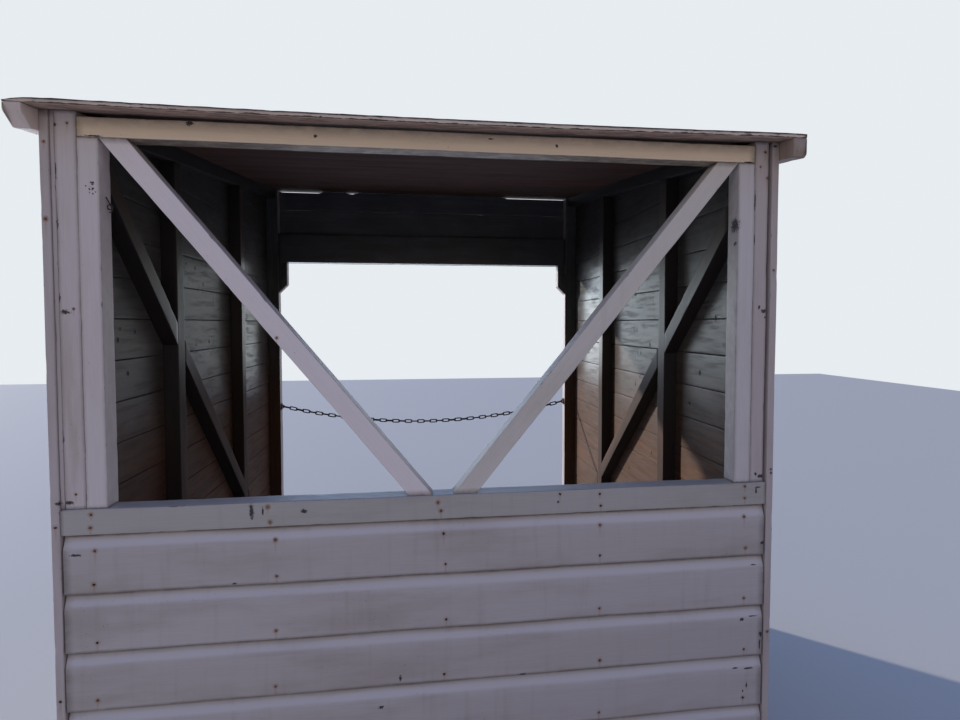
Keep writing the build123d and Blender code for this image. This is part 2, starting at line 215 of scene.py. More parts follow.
def painted(name, colour, dirt=0.35, chips=0.74, aged=(0.52, 0.44, 0.35), inside=PLAIN,
            roof_shade=0.0, sheen=False):
    """Old gloss paint on softwood.

    Brush marks and fibres run along the grain, and dirt takes the paint towards its aged tint. It
    wears through where the arris mask and a noise add up to more than the limit chips, and it is
    bare where the state says so; the wood under it has the tint inside. Rust spreads round each
    nail, with a faint run below it, and knots and knocks show dark. A value that the mesh holds
    takes the paint towards dark brown where it is above nil, as dirt and as painted shade in
    joints, recesses and under the eaves, and makes it fresher and paler where it is below nil, as a
    painted highlight up the coves. With sheen, light from the sea shines on the bare wood, except
    near the roof and low down.
    """
    material, shader, start = new_finish(name)
    grain, state, nail, mark = (start.held(layer) for layer in ("grain", "state", "nail", "mark"))
    dirt_and_painted_light = start.held("dirt_and_painted_light", out=2)
    here = start.place()

    wood, fibre, high = bare_wood(start, grain, here, inside, roof_shade)
    brush = grain.stretched(9.0, 420.0, 420.0).noise(2.0, 0.6)
    cloud = grain.stretched(2.2, 9.0, 9.0).noise(4.0, 0.6)
    runs = here.stretched(34.0, 34.0, 3.0).noise(3.0, 0.6)
    tone = state.part(2)
    fresh = (brush.rise(0.35, 0.65) * 0.5).blend(colour, tinted(colour, 0.90))
    dull = cloud.rise(0.42, 0.72) * dirt + runs.rise(0.50, 0.80) * dirt * 0.5 + tone * 0.10
    # Below nil the mesh value is a painted highlight up the coves: fresher paint, then paler.
    dull = dull + 0.20 + dirt_and_painted_light.math("MINIMUM", 0.0) * 0.34
    paint = dull.math("MAXIMUM", 0.0).blend(fresh, tinted(colour, aged))
    cove_highlight = dirt_and_painted_light.rise(-0.25, -0.95) * (0.26 + brush.rise(0.40, 0.62) * 0.12)
    paint = cove_highlight.blend(paint, COVE_HIGHLIGHT_COLOUR)
    speck = here.noise(2.0, 0.6, 230.0).rise(0.70, 0.74) * cloud.rise(0.45, 0.6)
    paint = (speck * 0.8).blend(paint, SPECK)
    smear = grain.stretched(30.0, 60.0, 60.0).noise(3.0, 0.6).rise(0.25, 0.65)
    # Above nil the mesh value is dirt, and painted shade in joints, recesses and under the eaves.
    paint = (dirt_and_painted_light * (0.60 + smear * 0.4)).blend(paint, DIRT_AND_SHADE)

    crumble = grain.stretched(26.0, 150.0, 150.0).noise(4.0, 0.7)
    worn = (state.part(0) * 0.30 + crumble).rise(chips + 0.17, chips + 0.21)
    worn = worn.math("MAXIMUM", state.part(1))
    base = worn.blend(paint, wood)

    rough_edge = (here.noise(2.0, 0.7, 260.0) - 0.5) * 0.006
    near = nail.length() + rough_edge
    beside = nail.stretched(1.0, 1.0, 0.0).length()
    drop = nail.part(2)
    run = beside.rise(0.004, 0.0005) * drop.rise(0.002, -0.004) * drop.rise(-0.042, -0.006) * 0.28
    weak = here.noise(1.0, 0.5, 9.0).rise(0.30, 0.68)
    halo = (near.rise(*NAIL_HALO) * (0.18 + weak * 0.5)).math("MAXIMUM", run)
    base = halo.blend(base, RUST)
    core = near.rise(*NAIL_CORE)
    base = core.blend(base, weak.blend(RUST_DARK, RUST_PALE))
    knock = (mark.length() + rough_edge * 2.4).rise(*KNOCK_EDGE)
    base = (knock * 0.97).blend(base, KNOCKED)

    scuffed = grain.stretched(7.0, 45.0, 45.0).noise(4.0, 0.7).rise(0.46, 0.64)
    splashed = (here.part(2) + cloud * 0.3).rise(*SPLASHED)
    dry = -0.12 if sheen else 0.34
    rough = 0.34 + cloud * 0.16 + halo * 0.25 + worn * (
        scuffed * 0.16 + knock * 0.3 + splashed * 0.42 + dry + high * 0.5)
    height = brush * 0.20 + fibre * 0.06 - worn * 0.55 - knock * 1.2 - core * 0.5
    set_finish(start, shader, base, rough, height, 0.0009)
    if sheen:
        coat = worn * here.part(1).rise(*SEA_LIGHT) * (1.0 - knock) * (1.0 - high)
        checks = grain.stretched(5.0, 150.0, 150.0).noise(3.0, 0.7).rise(0.56, 0.62)
        coat = coat * (1.0 - splashed) * (1.0 - scuffed * 0.65) * (1.0 - checks * 0.7)
        set_coat(start, shader, coat, 0.22)
    return material


WHITE = (0.62, 0.57, 0.56)
white_paint = painted("white_paint", WHITE)


SLIGHT_TURN = 0.35
EASED_SHARE = 0.28
OUTER_SHARE = 0.45
WEAR_MARGIN = 0.005


def eased(corners, radius):
    """Outline with its corners eased, and how far each of its points is worn.

    The outline is first turned anticlockwise. Each corner becomes a quadratic curve from a point
    one radius before it to a point one radius after it, with the corner as its handle, but a
    slight corner stays one point. Wear is full at a sharp outward corner, nil at a slight or
    inward one, and nil a margin further out.
    """
    corners = np.asarray(corners, dtype=float)
    if np.sum(np.cross(corners, np.roll(corners, -1, axis=0))) < 0:
        corners = corners[::-1]
    before = np.roll(corners, 1, axis=0) - corners
    after = np.roll(corners, -1, axis=0) - corners
    turn = np.arctan2(np.cross(-before, after), -np.sum(before * after, axis=1))
    length_before = np.linalg.norm(before, axis=1, keepdims=True)
    length_after = np.linalg.norm(after, axis=1, keepdims=True)
    before = before / length_before
    after = after / length_after
    ease = np.minimum(radius, EASED_SHARE * np.minimum(length_before, length_after))
    share = np.array([0.0, 0.33, 0.67, 1.0])[None, :, None]
    first = (corners + before * ease)[:, None]
    last = (corners + after * ease)[:, None]
    curve = first * (1 - share) ** 2 + corners[:, None] * 2 * share * (1 - share) + last * share**2
    outer_before = before * np.minimum(ease + WEAR_MARGIN, OUTER_SHARE * length_before)
    outer_after = after * np.minimum(ease + WEAR_MARGIN, OUTER_SHARE * length_after)
    outline = np.concatenate(
        [(corners + outer_before)[:, None], curve, (corners + outer_after)[:, None]], axis=1
    )
    wear = np.clip((turn - 0.5) / 0.6, 0.0, 1.0)[:, None] * [0.0, 0.7, 1.0, 1.0, 0.7, 0.0]
    slight = np.abs(turn) < SLIGHT_TURN
    outline[slight, 2] = corners[slight]
    kept = ~slight[:, None] | (np.arange(6) == 2)
    return outline[kept], wear[kept]


def divided(outline, wear, step):
    """The outline with each side cut into equal lengths no longer than step."""
    following = np.roll(outline, -1, axis=0)
    worn_next = np.roll(wear, -1)
    side = np.linalg.norm(following - outline, axis=1)
    pieces = np.maximum(1, np.ceil(side / step)).astype(int)
    which = np.repeat(np.arange(len(outline)), pieces)
    first = np.repeat(np.cumsum(pieces) - pieces, pieces)
    share = (np.arange(pieces.sum()) - first) / pieces[which]
    points = outline[which] + (following[which] - outline[which]) * share[:, None]
    return points, wear[which] * (1 - share) + worn_next[which] * share


def unit(vector):
    vector = np.asarray(vector, dtype=float)
    return vector / np.linalg.norm(vector)


def met(lines, run, cut):
    """How far along the run each line meets a cut: a point, and the direction square to it."""
    point, normal = np.asarray(cut[0], float), np.asarray(cut[1], float)
    return (point - lines) @ normal / (run @ normal)


WAVE = 0.31
WAVE_FADE = 0.04
GOUGE = 0.0022
END_GRIME = 0.007


def timber(outline, start, end, across, radius=0.0015, step=0.02, run_step=None,
           cuts=(None, None), seed=0, hollow=0.0003, grimy=None, end_wear=1.0, edge_grime=0.0,
           place=None):
    """One timber, as rings of points and what its finish has to know at each point.

    Its outline lies on an across and an upright axis, square to the run from start to end. Each
    point of the outline is carried along the run, from the plane that cuts the start to the plane
    that cuts the end. The rings share out that length, about run_step apart or else step, and
    three near each end draw the outline in, which eases the cut. Two slow sines of the length
    move the rings by up to hollow, and where the product of two faster ones is high it gouges the
    arrises. At last place moves the points. End_wear is how worn and dirty the ends are, edge_grime
    how dirty the arrises, and a function of the outline's two values adds dirt and painted shade,
    or below nil a painted highlight.
    """
    dice = np.random.default_rng(seed)
    start, end = np.asarray(start, float), np.asarray(end, float)
    run = unit(end - start)
    across = unit(across)
    upright = np.cross(run, across)
    points, wear = divided(*eased(outline, radius), step)
    tangent = np.roll(points, -1, axis=0) - np.roll(points, 1, axis=0)
    tangent = tangent / np.linalg.norm(tangent, axis=1, keepdims=True)
    inward = np.stack([-tangent[:, 1], tangent[:, 0]], axis=1)

    lines = start + points[:, :1] * across + points[:, 1:] * upright
    low, high = np.zeros(len(points)), np.full(len(points), np.linalg.norm(end - start))
    if cuts[0]:
        low = met(lines, run, cuts[0])
    if cuts[1]:
        high = met(lines, run, cuts[1])
    length = float(np.mean(high - low))
    ease = min(radius, 0.2 * length)
    between = np.linspace(0.0, 1.0, max(3, int(length / (run_step or step))))[1:-1]

    def with_ends(first, last, middle=0.0 * between):
        """Values for the three rings near each end and those between them."""
        return np.concatenate([first, middle, last])

    share = with_ends([0.0, 0.0, 0.0], [1.0, 1.0, 1.0], between)
    offset = with_ends([0.0, 0.3, 1.0], [-1.0, -0.3, 0.0]) * ease
    drawn = with_ends([1.0, 0.3, 0.0], [0.0, 0.3, 1.0]) * ease
    worn_end = with_ends([0.8, 1.0, 0.7], [0.7, 1.0, 0.8]) * end_wear

    along = low + (high - low) * share[:, None] + offset[:, None]
    from_end = np.minimum(along - low, high - along)
    shape = points[None] + inward[None] * drawn[:, None, None]
    phase = dice.uniform(0, 2 * pi, 4)
    sway = along / WAVE * pi
    fade = np.minimum(1.0, from_end / WAVE_FADE)
    side = hollow * np.sin(sway + phase[0]) * fade
    lift = hollow * np.sin(sway * 1.3 + phase[1]) * fade
    gouge = np.maximum(0.0, np.sin(sway * 4.1 + phase[2]) * np.sin(sway * 2.3 + phase[3]) - 0.55)
    shape = shape + inward[None] * (wear * gouge * GOUGE)[..., None]
    rings = (start + along[..., None] * run + (shape[..., :1] + side[..., None]) * across
             + (shape[..., 1:] + lift[..., None]) * upright)
    if place is not None:
        rings = place(rings)
    rings[..., 2] = np.maximum(rings[..., 2], 0.0)
    grain = np.concatenate([along[..., None], shape], axis=-1) + dice.uniform(0, 9, 3)
    worn = np.maximum(wear[None], worn_end[:, None])
    tone = np.full(worn.shape, dice.uniform(-1, 1))
    state = np.stack([worn, np.zeros(worn.shape), tone], axis=-1)
    dirt_and_painted_light = np.clip(1.0 - from_end / END_GRIME, 0.0, 1.0) * end_wear
    dirt_and_painted_light = np.maximum(dirt_and_painted_light, wear * edge_grime)
    if grimy is not None:
        gathered = grimy(shape[..., 0], shape[..., 1])
        dirt_and_painted_light = np.where(gathered > 0, np.maximum(dirt_and_painted_light, gathered), dirt_and_painted_light + gathered)
    return {"points": rings, "grain": grain, "state": state, "dirt_and_painted_light": dirt_and_painted_light}


def nearest(mesh, marks):
    """Offset of each face corner from the mark nearest to its face, far away where there is none.

    A mark is its place, its half width and its half height in units of the finish's own mark, and
    the offset is divided by those sizes.
    """
    corner_point = np.empty(len(mesh.loops), dtype=np.int32)
    mesh.loops.foreach_get("vertex_index", corner_point)
    if not len(marks):
        return np.ones((len(corner_point), 3))
    points = np.empty(len(mesh.vertices) * 3)
    mesh.vertices.foreach_get("co", points)
    points = points.reshape(-1, 3)[corner_point]
    corners = np.empty(len(mesh.polygons), dtype=np.int32)
    mesh.polygons.foreach_get("loop_total", corners)
    first = np.cumsum(corners) - corners
    middle = np.add.reduceat(points, first, axis=0) / corners[:, None]
    marks = np.asarray(marks, float)
    picked = np.linalg.norm(middle[:, None] - marks[:, :3], axis=-1).argmin(axis=-1)
    picked = marks[np.repeat(picked, corners)]
    return (points - picked[:, :3]) / picked[:, [3, 3, 4]]


def add_piece(name, mesh, material, nodes):
    """A finished mesh as a piece of the shelter, in place of the nodes that it stands for."""
    mesh.materials.append(material)
    piece = bpy.data.objects.new(name, mesh)
    bpy.context.scene.collection.objects.link(piece)
    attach(piece, "root")
    if nodes:
        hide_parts(*nodes)


def between_rings(index):
    """Faces between each ring of point numbers and the next, four numbers to a face."""
    beside = np.roll(index, -1, axis=-1)
    quads = [index[..., :-1, :], beside[..., :-1, :], beside[..., 1:, :], index[..., 1:, :]]
    return np.stack(quads, axis=-1).reshape(-1, 4).tolist()


def built(name, parts, material, nodes=(), nails=(), marks=()):
    """Parts made of rings, joined in one piece: faces between rings and one face on each end.

    The mesh holds what its finish reads: grain, state and grime at its points, and at each face
    corner the offsets from the nearest of its nails and marks.
    """
    points, faces, count = [], [], 0
    for part in parts:
        rings, around = part["points"].shape[:2]
        index = np.arange(rings * around).reshape(rings, around) + count
        faces += between_rings(index) + [index[0][::-1].tolist(), index[-1].tolist()]
        points.append(part["points"].reshape(-1, 3))
        count += rings * around
    points = np.concatenate(points)
    mesh = bpy.data.meshes.new(name)
    mesh.from_pydata(points, [], faces)
    grain, state, dirt_and_painted_light = (
        np.concatenate([part[layer].ravel() for part in parts])
        for layer in ("grain", "state", "dirt_and_painted_light")
    )
    for layer, kind, domain, values in (
        ("grain", "FLOAT_VECTOR", "POINT", grain),
        ("state", "FLOAT_VECTOR", "POINT", state),
        ("nail", "FLOAT_VECTOR", "CORNER", nearest(mesh, nails)),
        ("mark", "FLOAT_VECTOR", "CORNER", nearest(mesh, marks)),
        ("dirt_and_painted_light", "FLOAT", "POINT", dirt_and_painted_light),
    ):
        held = mesh.attributes.new(layer, kind, domain)
        values = np.ravel(values).astype(np.float32)
        held.data.foreach_set("vector" if kind == "FLOAT_VECTOR" else "value", values)
    mesh.shade_smooth()
    mesh.set_sharp_from_angle(angle=radians(34))
    add_piece(name, mesh, material, nodes)


def bared(part, hidden):
    """Marks the points of a part for which hidden is true as never painted."""
    part["state"][..., 1] = np.where(hidden(part["points"]), 1.0, 0.0)
    return part


REAR_FACE = -0.825
BOARD_COVER = 0.1435
BOARD_COUNT = 7
BOARD_THICKNESS = 0.020
COVE_HEIGHT = 0.036
COVE_DEPTH = 0.009
LAP = 0.008
BOARD_REACH = 0.902
NAIL_COLUMNS = (-0.832, -0.416, 0.008, 0.425, 0.842)
NAIL_HEIGHT = 0.021
TOP_NAIL_HEIGHTS = (0.883, 0.969)
SILL_BOTTOM = BOARD_COUNT * BOARD_COVER
ACROSS_X, ACROSS_Y, ACROSS_Z = (1, 0, 0), (0, 1, 0), (0, 0, 1)


def moulded(cover, thickness, cove, depth, lap, joint=0.0015):
    """Section of a moulded board, depth and height: flat face, hollow cove up to its top edge.

    The cove's depth is a sine of the way up it, raised to 1.3: it leans back from a soft arris and
    ends upright, under the board above.
    """
    share = np.linspace(0.0, 1.0, 9)
    cove_line = np.stack(
        [depth * np.sin(share * pi / 2) ** 1.3, cover - joint - cove + cove * share], axis=1
    )
    back = [[thickness, cover + lap], [thickness, lap + 0.001], [depth, lap + 0.001], [depth, 0.0]]
    outline = np.concatenate([[[0.0, 0.0]], cove_line, [[depth + 0.0005, cover + lap]], back])
    return outline[::-1]


def joint_dirt_shade_and_cove_highlight(cover, cove):
    """Grime and painted shade at the lip of a board and under the board above; painted highlight
    up the cove between.

    The dark bands fade in a straight line, and the highlight is a bell curve up the cove.
    """
    def grimy(depth, height):
        lip = np.clip(1.0 - height / 0.0050, 0.0, 1.0)
        under = np.clip((height - cover + 0.0100) / 0.0065, 0.0, 1.0)
        from_cove = (height - cover + 0.63 * cove) / (0.30 * cove)
        return np.maximum(lip, under) - np.exp(-(from_cove**2))
    return grimy


def on_face(face, rows):
    """Nails or knocks on a face at one y, from rows of x, z and, if not 1, two sizes."""
    return [(x, face, z, *(size or (1, 1))) for x, z, *size in rows]


rear_boards, rear_nails = [], []
for row in range(BOARD_COUNT):
    board_dice = np.random.default_rng(40 + row)
    foot = row * BOARD_COVER
    section = moulded(BOARD_COVER, BOARD_THICKNESS, COVE_HEIGHT, COVE_DEPTH, LAP)
    if row == 0:
        section = section[(section[:, 1] > 0.01) | (section[:, 0] == 0.0)]
        section = np.concatenate([[[0.0, 0.0], [BOARD_THICKNESS, 0.0]], section[:-1]])
    if row == BOARD_COUNT - 1:
        section[:, 1] = np.minimum(section[:, 1], BOARD_COVER - 0.0008)
        section = section[np.concatenate([[True], np.abs(np.diff(section, axis=0)).sum(1) > 1e-6])]
    ends = board_dice.uniform(-0.0012, 0.0012, 2)
    board = timber(section, (-BOARD_REACH + ends[0], REAR_FACE, foot),
                   (BOARD_REACH + ends[1], REAR_FACE, foot), ACROSS_Y, radius=0.0026,
                   seed=60 + row, hollow=0.0005, grimy=joint_dirt_shade_and_cove_highlight(BOARD_COVER, COVE_HEIGHT))
    rear_boards.append(bared(board, lambda p: p[..., 1] > REAR_FACE + 0.5 * BOARD_THICKNESS))
    for height in TOP_NAIL_HEIGHTS if row == BOARD_COUNT - 1 else (foot + NAIL_HEIGHT,):
        for column in NAIL_COLUMNS:
            jitter = board_dice.uniform(-0.004, 0.004, 2)
            rear_nails.append((column + jitter[0], REAR_FACE, height + jitter[1], 1, 1))
BOARD_KNOCKS = on_face(REAR_FACE, (
    (0.895, 0.895, 1.0, 0.8), (0.872, 0.833, 1.6, 0.3), (0.838, 0.681, 1.0, 0.8),
    (0.866, 0.687, 3.2, 0.3), (0.895, 0.634, 0.9, 1.3), (0.893, 0.606, 0.4, 3.0),
    (0.822, 0.541, 1.2, 0.4), (0.862, 0.538, 2.4, 0.4), (0.856, 0.490, 0.4, 1.7),
    (0.845, 0.476, 0.4, 1.2), (0.214, 0.574, 1.8, 0.9), (-0.872, 0.957, 2.2, 0.6),
    (-0.512, 0.867, 1.0, 0.5), (-0.109, 0.592, 0.7, 1.2), (-0.158, 0.520, 1.1, 0.7),
))
built("weatherboards_rear", rear_boards, white_paint, nodes=("rear_boards",), nails=rear_nails,
      marks=BOARD_KNOCKS)


# Sill rail: one painted timber on top of the boards, its ends butted between the corner trims and
# nailed down through its face.
def rect(a0, a1, b0, b1):
    """Corners of a rectangle between two values on each of its two axes."""
    return [(a0, b0), (a1, b0), (a1, b1), (a0, b1)]


FRAME_FACE = -0.821
FRAME_BACK = -0.774
BOARD_END = 0.905
SILL_TOP = SILL_BOTTOM + 0.062


def darker_sill_top(depth, height):
    """Slightly darker on the upper face of the sill rail."""
    return 0.16 * np.clip((height - SILL_TOP + 0.004) / 0.003, 0, 1)


sill_rail = timber(rect(REAR_FACE, FRAME_BACK, SILL_BOTTOM, SILL_TOP), (-BOARD_END, 0, 0),
                   (BOARD_END, 0, 0), ACROSS_Y, radius=0.003, step=0.010, seed=3, hollow=0.0004,
                   grimy=darker_sill_top)
SILL_NAILS = on_face(REAR_FACE, (
    (-0.836, 1.054), (-0.838, 1.022), (-0.431, 1.055), (-0.426, 1.017), (-0.010, 1.048),
    (-0.002, 1.026), (0.313, 1.057), (0.423, 1.053), (0.426, 1.021), (0.840, 1.057),
    (0.841, 1.024),
))
SILL_KNOCKS = on_face(REAR_FACE, (
    (-0.470, 1.045, 0.9, 3.3), (-0.443, 1.046, 0.4, 2.0), (-0.344, 1.041, 1.3, 1.0),
    (0.308, 1.036, 0.5, 0.5), (0.874, 1.045, 0.5, 1.9), (0.881, 1.053, 1.2, 0.4),
))
built("sill_rail", [sill_rail], painted("sill_paint", (0.56, 0.53, 0.50)),
      nodes=("rear_sill_rail",), nails=SILL_NAILS, marks=SILL_KNOCKS)

# Hatch jambs: square painted timbers on the sill rail, under the head rail. The left one has old
# knocks and a hook near its top; the right one a knot hole in its inner side.
HEAD_BOTTOM = SILL_TOP + 0.879
TIMBER = 0.047
LEFT_JAMB = (-0.8475, -0.8005)
RIGHT_JAMB = (0.8095, 0.8565)
jamb_paint = {"left": painted("jamb_paint_left", (0.90, 0.83, 0.83), dirt=0.15),
              "right": painted("jamb_paint_right", (0.78, 0.73, 0.73), dirt=0.22)}
JAMB_KNOCKS = {
    "left": on_face(FRAME_FACE, ((-0.817, 1.829, 1.1, 0.5), (-0.815, 1.840, 0.5, 0.6))),
    "right": ((RIGHT_JAMB[0], -0.806, 1.778, 2.9, 3.4), (RIGHT_JAMB[0], -0.808, 1.728, 1.5, 1.2)),
}
KNOCKED_X, KNOCKED_Z = -0.818, 1.830
knock_dice = np.random.default_rng(12)
for _ in range(12):
    spread, size = knock_dice.normal(0, (0.006, 0.010)), knock_dice.uniform(0.22, 0.5, 2)
    spot = (KNOCKED_X + spread[0], FRAME_FACE, KNOCKED_Z + spread[1])
    JAMB_KNOCKS["left"].append((*spot, *size))


def standing(x0, x1, y0, y1, bottom, top, **look):
    """A timber that stands between two values of x, two of y and two heights."""
    return timber(rect(x0, x1, y0, y1), (0, 0, bottom), (0, 0, top), ACROSS_X, **look)


for side, (x0, x1), inner, shade, seed in (
    ("left", LEFT_JAMB, LEFT_JAMB[1], 0.24, 10),
    ("right", RIGHT_JAMB, RIGHT_JAMB[0], 0.40, 11),
):
    jamb = standing(x0, x1, FRAME_FACE, FRAME_BACK, SILL_TOP, HEAD_BOTTOM, radius=0.002,
                    step=0.006, edge_grime=0.35, seed=seed,
                    grimy=lambda x, y: shade * (np.abs(x - inner) < 0.001))
    built(f"jamb_{side}", [jamb], jamb_paint[side], nodes=(f"rear_jamb_{side}",),
          marks=JAMB_KNOCKS[side])

# Corner posts: painted timbers beside the jambs, which run up to the roof and carry the ends of
# the head rail.
PITCH = radians(8)
ROOF_LOW = 2.004
ROOF_NORMAL = (0, -sin(PITCH), cos(PITCH))
ROOF_CUT = ((0, REAR_FACE, ROOF_LOW), ROOF_NORMAL)
LEFT_POST = (-0.8945, LEFT_JAMB[0])
RIGHT_POST = (RIGHT_JAMB[1], 0.8965)
post_paint = painted("post_paint", (0.66, 0.585, 0.575), dirt=0.40, inside=(0.36, 0.40, 0.44))
left_post_paint = painted("post_paint_left", (0.78, 0.70, 0.69), dirt=0.40)
POST_NAILS = {
    "left": on_face(FRAME_FACE, (
        (-0.866, 1.975, 0.7, 0.7), (-0.863, 1.544, 0.6, 0.6), (-0.870, 1.103, 0.6, 0.6))),
    "right": on_face(FRAME_FACE, (
        (0.886, 1.976), (0.872, 1.936, 0.7, 0.7), (0.893, 1.906, 0.9, 0.9))),
}
POST_KNOCKS = {
    "left": on_face(FRAME_FACE, (
        (-0.882, 1.537, 2.2, 0.9), (-0.886, 1.083, 1.6, 0.8), (-0.8935, 1.865, 0.4, 3.4),
        (-0.8935, 1.739, 0.45, 2.6), (-0.8935, 1.570, 0.5, 2.0), (-0.8935, 1.236, 0.5, 1.4),
        (-0.893, 1.971, 1.2, 0.8))),
    "right": on_face(FRAME_FACE, (
        (0.8575, 1.842, 0.4, 4.2), (0.8575, 1.735, 0.35, 2.6), (0.876, 1.553, 0.6, 1.0),
        (0.889, 1.543, 1.6, 0.9), (0.893, 1.526, 0.5, 0.5), (0.874, 1.090, 0.6, 0.8),
        (0.889, 1.083, 1.9, 1.0))),
}
for side, (x0, x1), paint, seed in (("left", LEFT_POST, left_post_paint, 12),
                                    ("right", RIGHT_POST, post_paint, 15)):
    post = standing(x0, x1, FRAME_FACE, FRAME_BACK, SILL_TOP, ROOF_LOW, radius=0.0025,
                    step=0.010, edge_grime=0.45, cuts=(None, ROOF_CUT), seed=seed)
    built(f"corner_post_{side}", [post], paint, nodes=(f"rear_corner_post_{side}",),
          nails=POST_NAILS[side], marks=POST_KNOCKS[side])

# Head rail: a square timber between the corner posts. Its warm buff paint is made brighter and
# warmer as painted bounce light, and painted shade darkens its underside and the top of its face
# under the eaves. There is an open gap between it and the roof.
rail_paint_bounce_lit = painted("rail_paint_bounce_lit", (1.0, 0.81, 0.61), dirt=0.08, aged=(0.93, 0.84, 0.75))


def eaves_shade(depth, height):
    """Painted shade along the underside of the head rail, and over the upper part of its face."""
    shade = 0.62 * np.clip((height - HEAD_BOTTOM - 0.018) / 0.029, 0.0, 1.0)
    return np.where(height < HEAD_BOTTOM + 0.001, 0.80, shade)


head_rail = timber(rect(FRAME_FACE, FRAME_BACK, HEAD_BOTTOM, HEAD_BOTTOM + TIMBER),
                   (LEFT_JAMB[0], 0, 0), (RIGHT_JAMB[1], 0, 0), ACROSS_Y, radius=0.003,
                   step=0.008, run_step=0.02, seed=21, grimy=eaves_shade)
RAIL_KNOCKS = on_face(FRAME_FACE, (
    (-0.598, 1.987, 1.6, 0.9), (-0.307, 1.968, 0.9, 0.9), (0.302, 1.969, 0.7, 0.7),
    (0.129, 1.980, 1.4, 0.3), (-0.812, 1.948, 3.4, 0.3), (0.838, 1.947, 2.6, 0.35),
))
built("head_rail", [head_rail], rail_paint_bounce_lit, nodes=("rear_head_rail",), marks=RAIL_KNOCKS)

# Hatch braces: two square painted timbers that lean from the sill rail out to the top of the
# jambs. Both ends are cut level, and how long those cuts are follows from the lean.
LEVEL = (0, 0, 1)
BRACE_MIDDLE = 0.004
BRACE_GAP = 0.052
brace_paint = {"left": painted("brace_paint_left", (0.97, 0.88, 0.88), dirt=0.10,
                               aged=(0.8, 0.75, 0.72)),
               "right": painted("brace_paint_right", (0.89, 0.835, 0.79), dirt=0.20)}
BRACE_NAILS = {"left": on_face(FRAME_FACE, ((-0.405, 1.474, 0.7, 0.7),)), "right": ()}
for side, lean, top_x, seed in (("left", 1, LEFT_JAMB[1], 31), ("right", -1, RIGHT_JAMB[0], 34)):
    foot_x = BRACE_MIDDLE - lean * BRACE_GAP / 2
    run = abs(foot_x - top_x)
    rise = HEAD_BOTTOM - SILL_TOP
    reach = rise * (run**2 + rise**2 - TIMBER**2) ** 0.5
    cut = TIMBER * (reach - TIMBER * run) / (rise**2 - TIMBER**2)
    # The upper side of the left brace is darkened with painted shade; the right brace has none.
    brace = timber(rect(FRAME_FACE, FRAME_BACK, -TIMBER / 2, TIMBER / 2),
                   (foot_x - lean * cut / 2, 0, SILL_TOP), (top_x + lean * cut / 2, 0, HEAD_BOTTOM),
                   ACROSS_Y, radius=0.002, seed=seed,
                   cuts=(((0, 0, SILL_TOP), LEVEL), ((0, 0, HEAD_BOTTOM), LEVEL)),
                   grimy=lambda depth, height: (
                       (0.25 + 0.25 * lean) * (height * lean < 0.0008 - TIMBER / 2)))
    built(f"hatch_brace_{side}", [brace], brace_paint[side], nodes=(f"rear_brace_{side}",),
          nails=BRACE_NAILS[side])

# Rear corner trims: each is a strip that covers the ends of the boards, a packing piece behind
# them and a slip beside the corner post. Both slips carry a little dirt; the right slip lies back,
# and painted shade darkens it in its recess.
HALF_WIDTH = 0.9245
WALL_OUTER = 0.879
BOARD_BACK = REAR_FACE + BOARD_THICKNESS
TRIM_NAILS = {
    "left": on_face(REAR_FACE, ((-0.914, 1.929, 0.7, 0.7), (-0.915, 1.752, 0.9, 1.1),
                                (-0.914, 1.026), (-0.915, 0.603), (-0.914, 0.190))),
    "right": on_face(REAR_FACE, ((0.914, 1.655, 0.7, 0.7), (0.917, 1.102, 0.8, 0.8),
                                 (0.916, 0.640), (0.915, 0.205))),
}
TRIM_KNOCKS = {
    "left": on_face(REAR_FACE, ((-0.906, 1.083, 1.2, 0.9),)),
    "right": on_face(REAR_FACE, ((0.911, 1.992, 1.0, 0.5), (0.918, 1.092, 0.6, 0.9))),
}
for side, turn, post_edge, recess, slip_dirt_and_shade in (
    ("left", -1, LEFT_POST[0], 0.0, 0.05),
    ("right", 1, RIGHT_POST[1], 0.012, 0.77),
):
    strip = standing(turn * BOARD_END, turn * HALF_WIDTH, REAR_FACE, FRAME_BACK, 0, ROOF_LOW,
                     radius=0.002, cuts=(None, ROOF_CUT), seed=41 + turn)
    packing = standing(turn * WALL_OUTER, turn * BOARD_END, BOARD_BACK, FRAME_BACK, 0,
                       SILL_BOTTOM, radius=0.001, seed=45 + turn)
    slip = standing(post_edge, turn * (BOARD_END - 0.001), FRAME_FACE + recess, FRAME_BACK,
                    SILL_TOP, ROOF_LOW, radius=0.002, cuts=(None, ROOF_CUT), seed=49 + turn,
                    grimy=lambda x, y: np.full(x.shape, slip_dirt_and_shade))
    built(f"rear_trim_{side}", [strip, packing, slip], post_paint,
          nodes=(f"rear_corner_trim_{side}",), nails=TRIM_NAILS[side], marks=TRIM_KNOCKS[side])


# Nails of the rear wall: round wire nails, driven flush with the paint, their low domed heads
# brown with rust.
def rusty(name, colour=RUST_DARK, bright=RUST, metal=0.35):
    """Rusted steel: brown scale over dark metal, in two sizes of patch."""
    material, shader, start = new_finish(name)
    here = start.place()
    patch = here.noise(4.0, 0.65, 70.0).rise(0.42, 0.62)
    pits = here.noise(3.0, 0.7, 900.0)
    base = (patch * 0.8).blend(colour, bright)
    base = (pits.rise(0.55, 0.75) * 0.6).blend(base, tinted(bright, 1.9))
    set_finish(start, shader, base, 0.88 - patch * 0.18, pits, 0.0004)
    shader.inputs["Metallic"].default_value = metal
    return material


rust = rusty("rusty_steel")


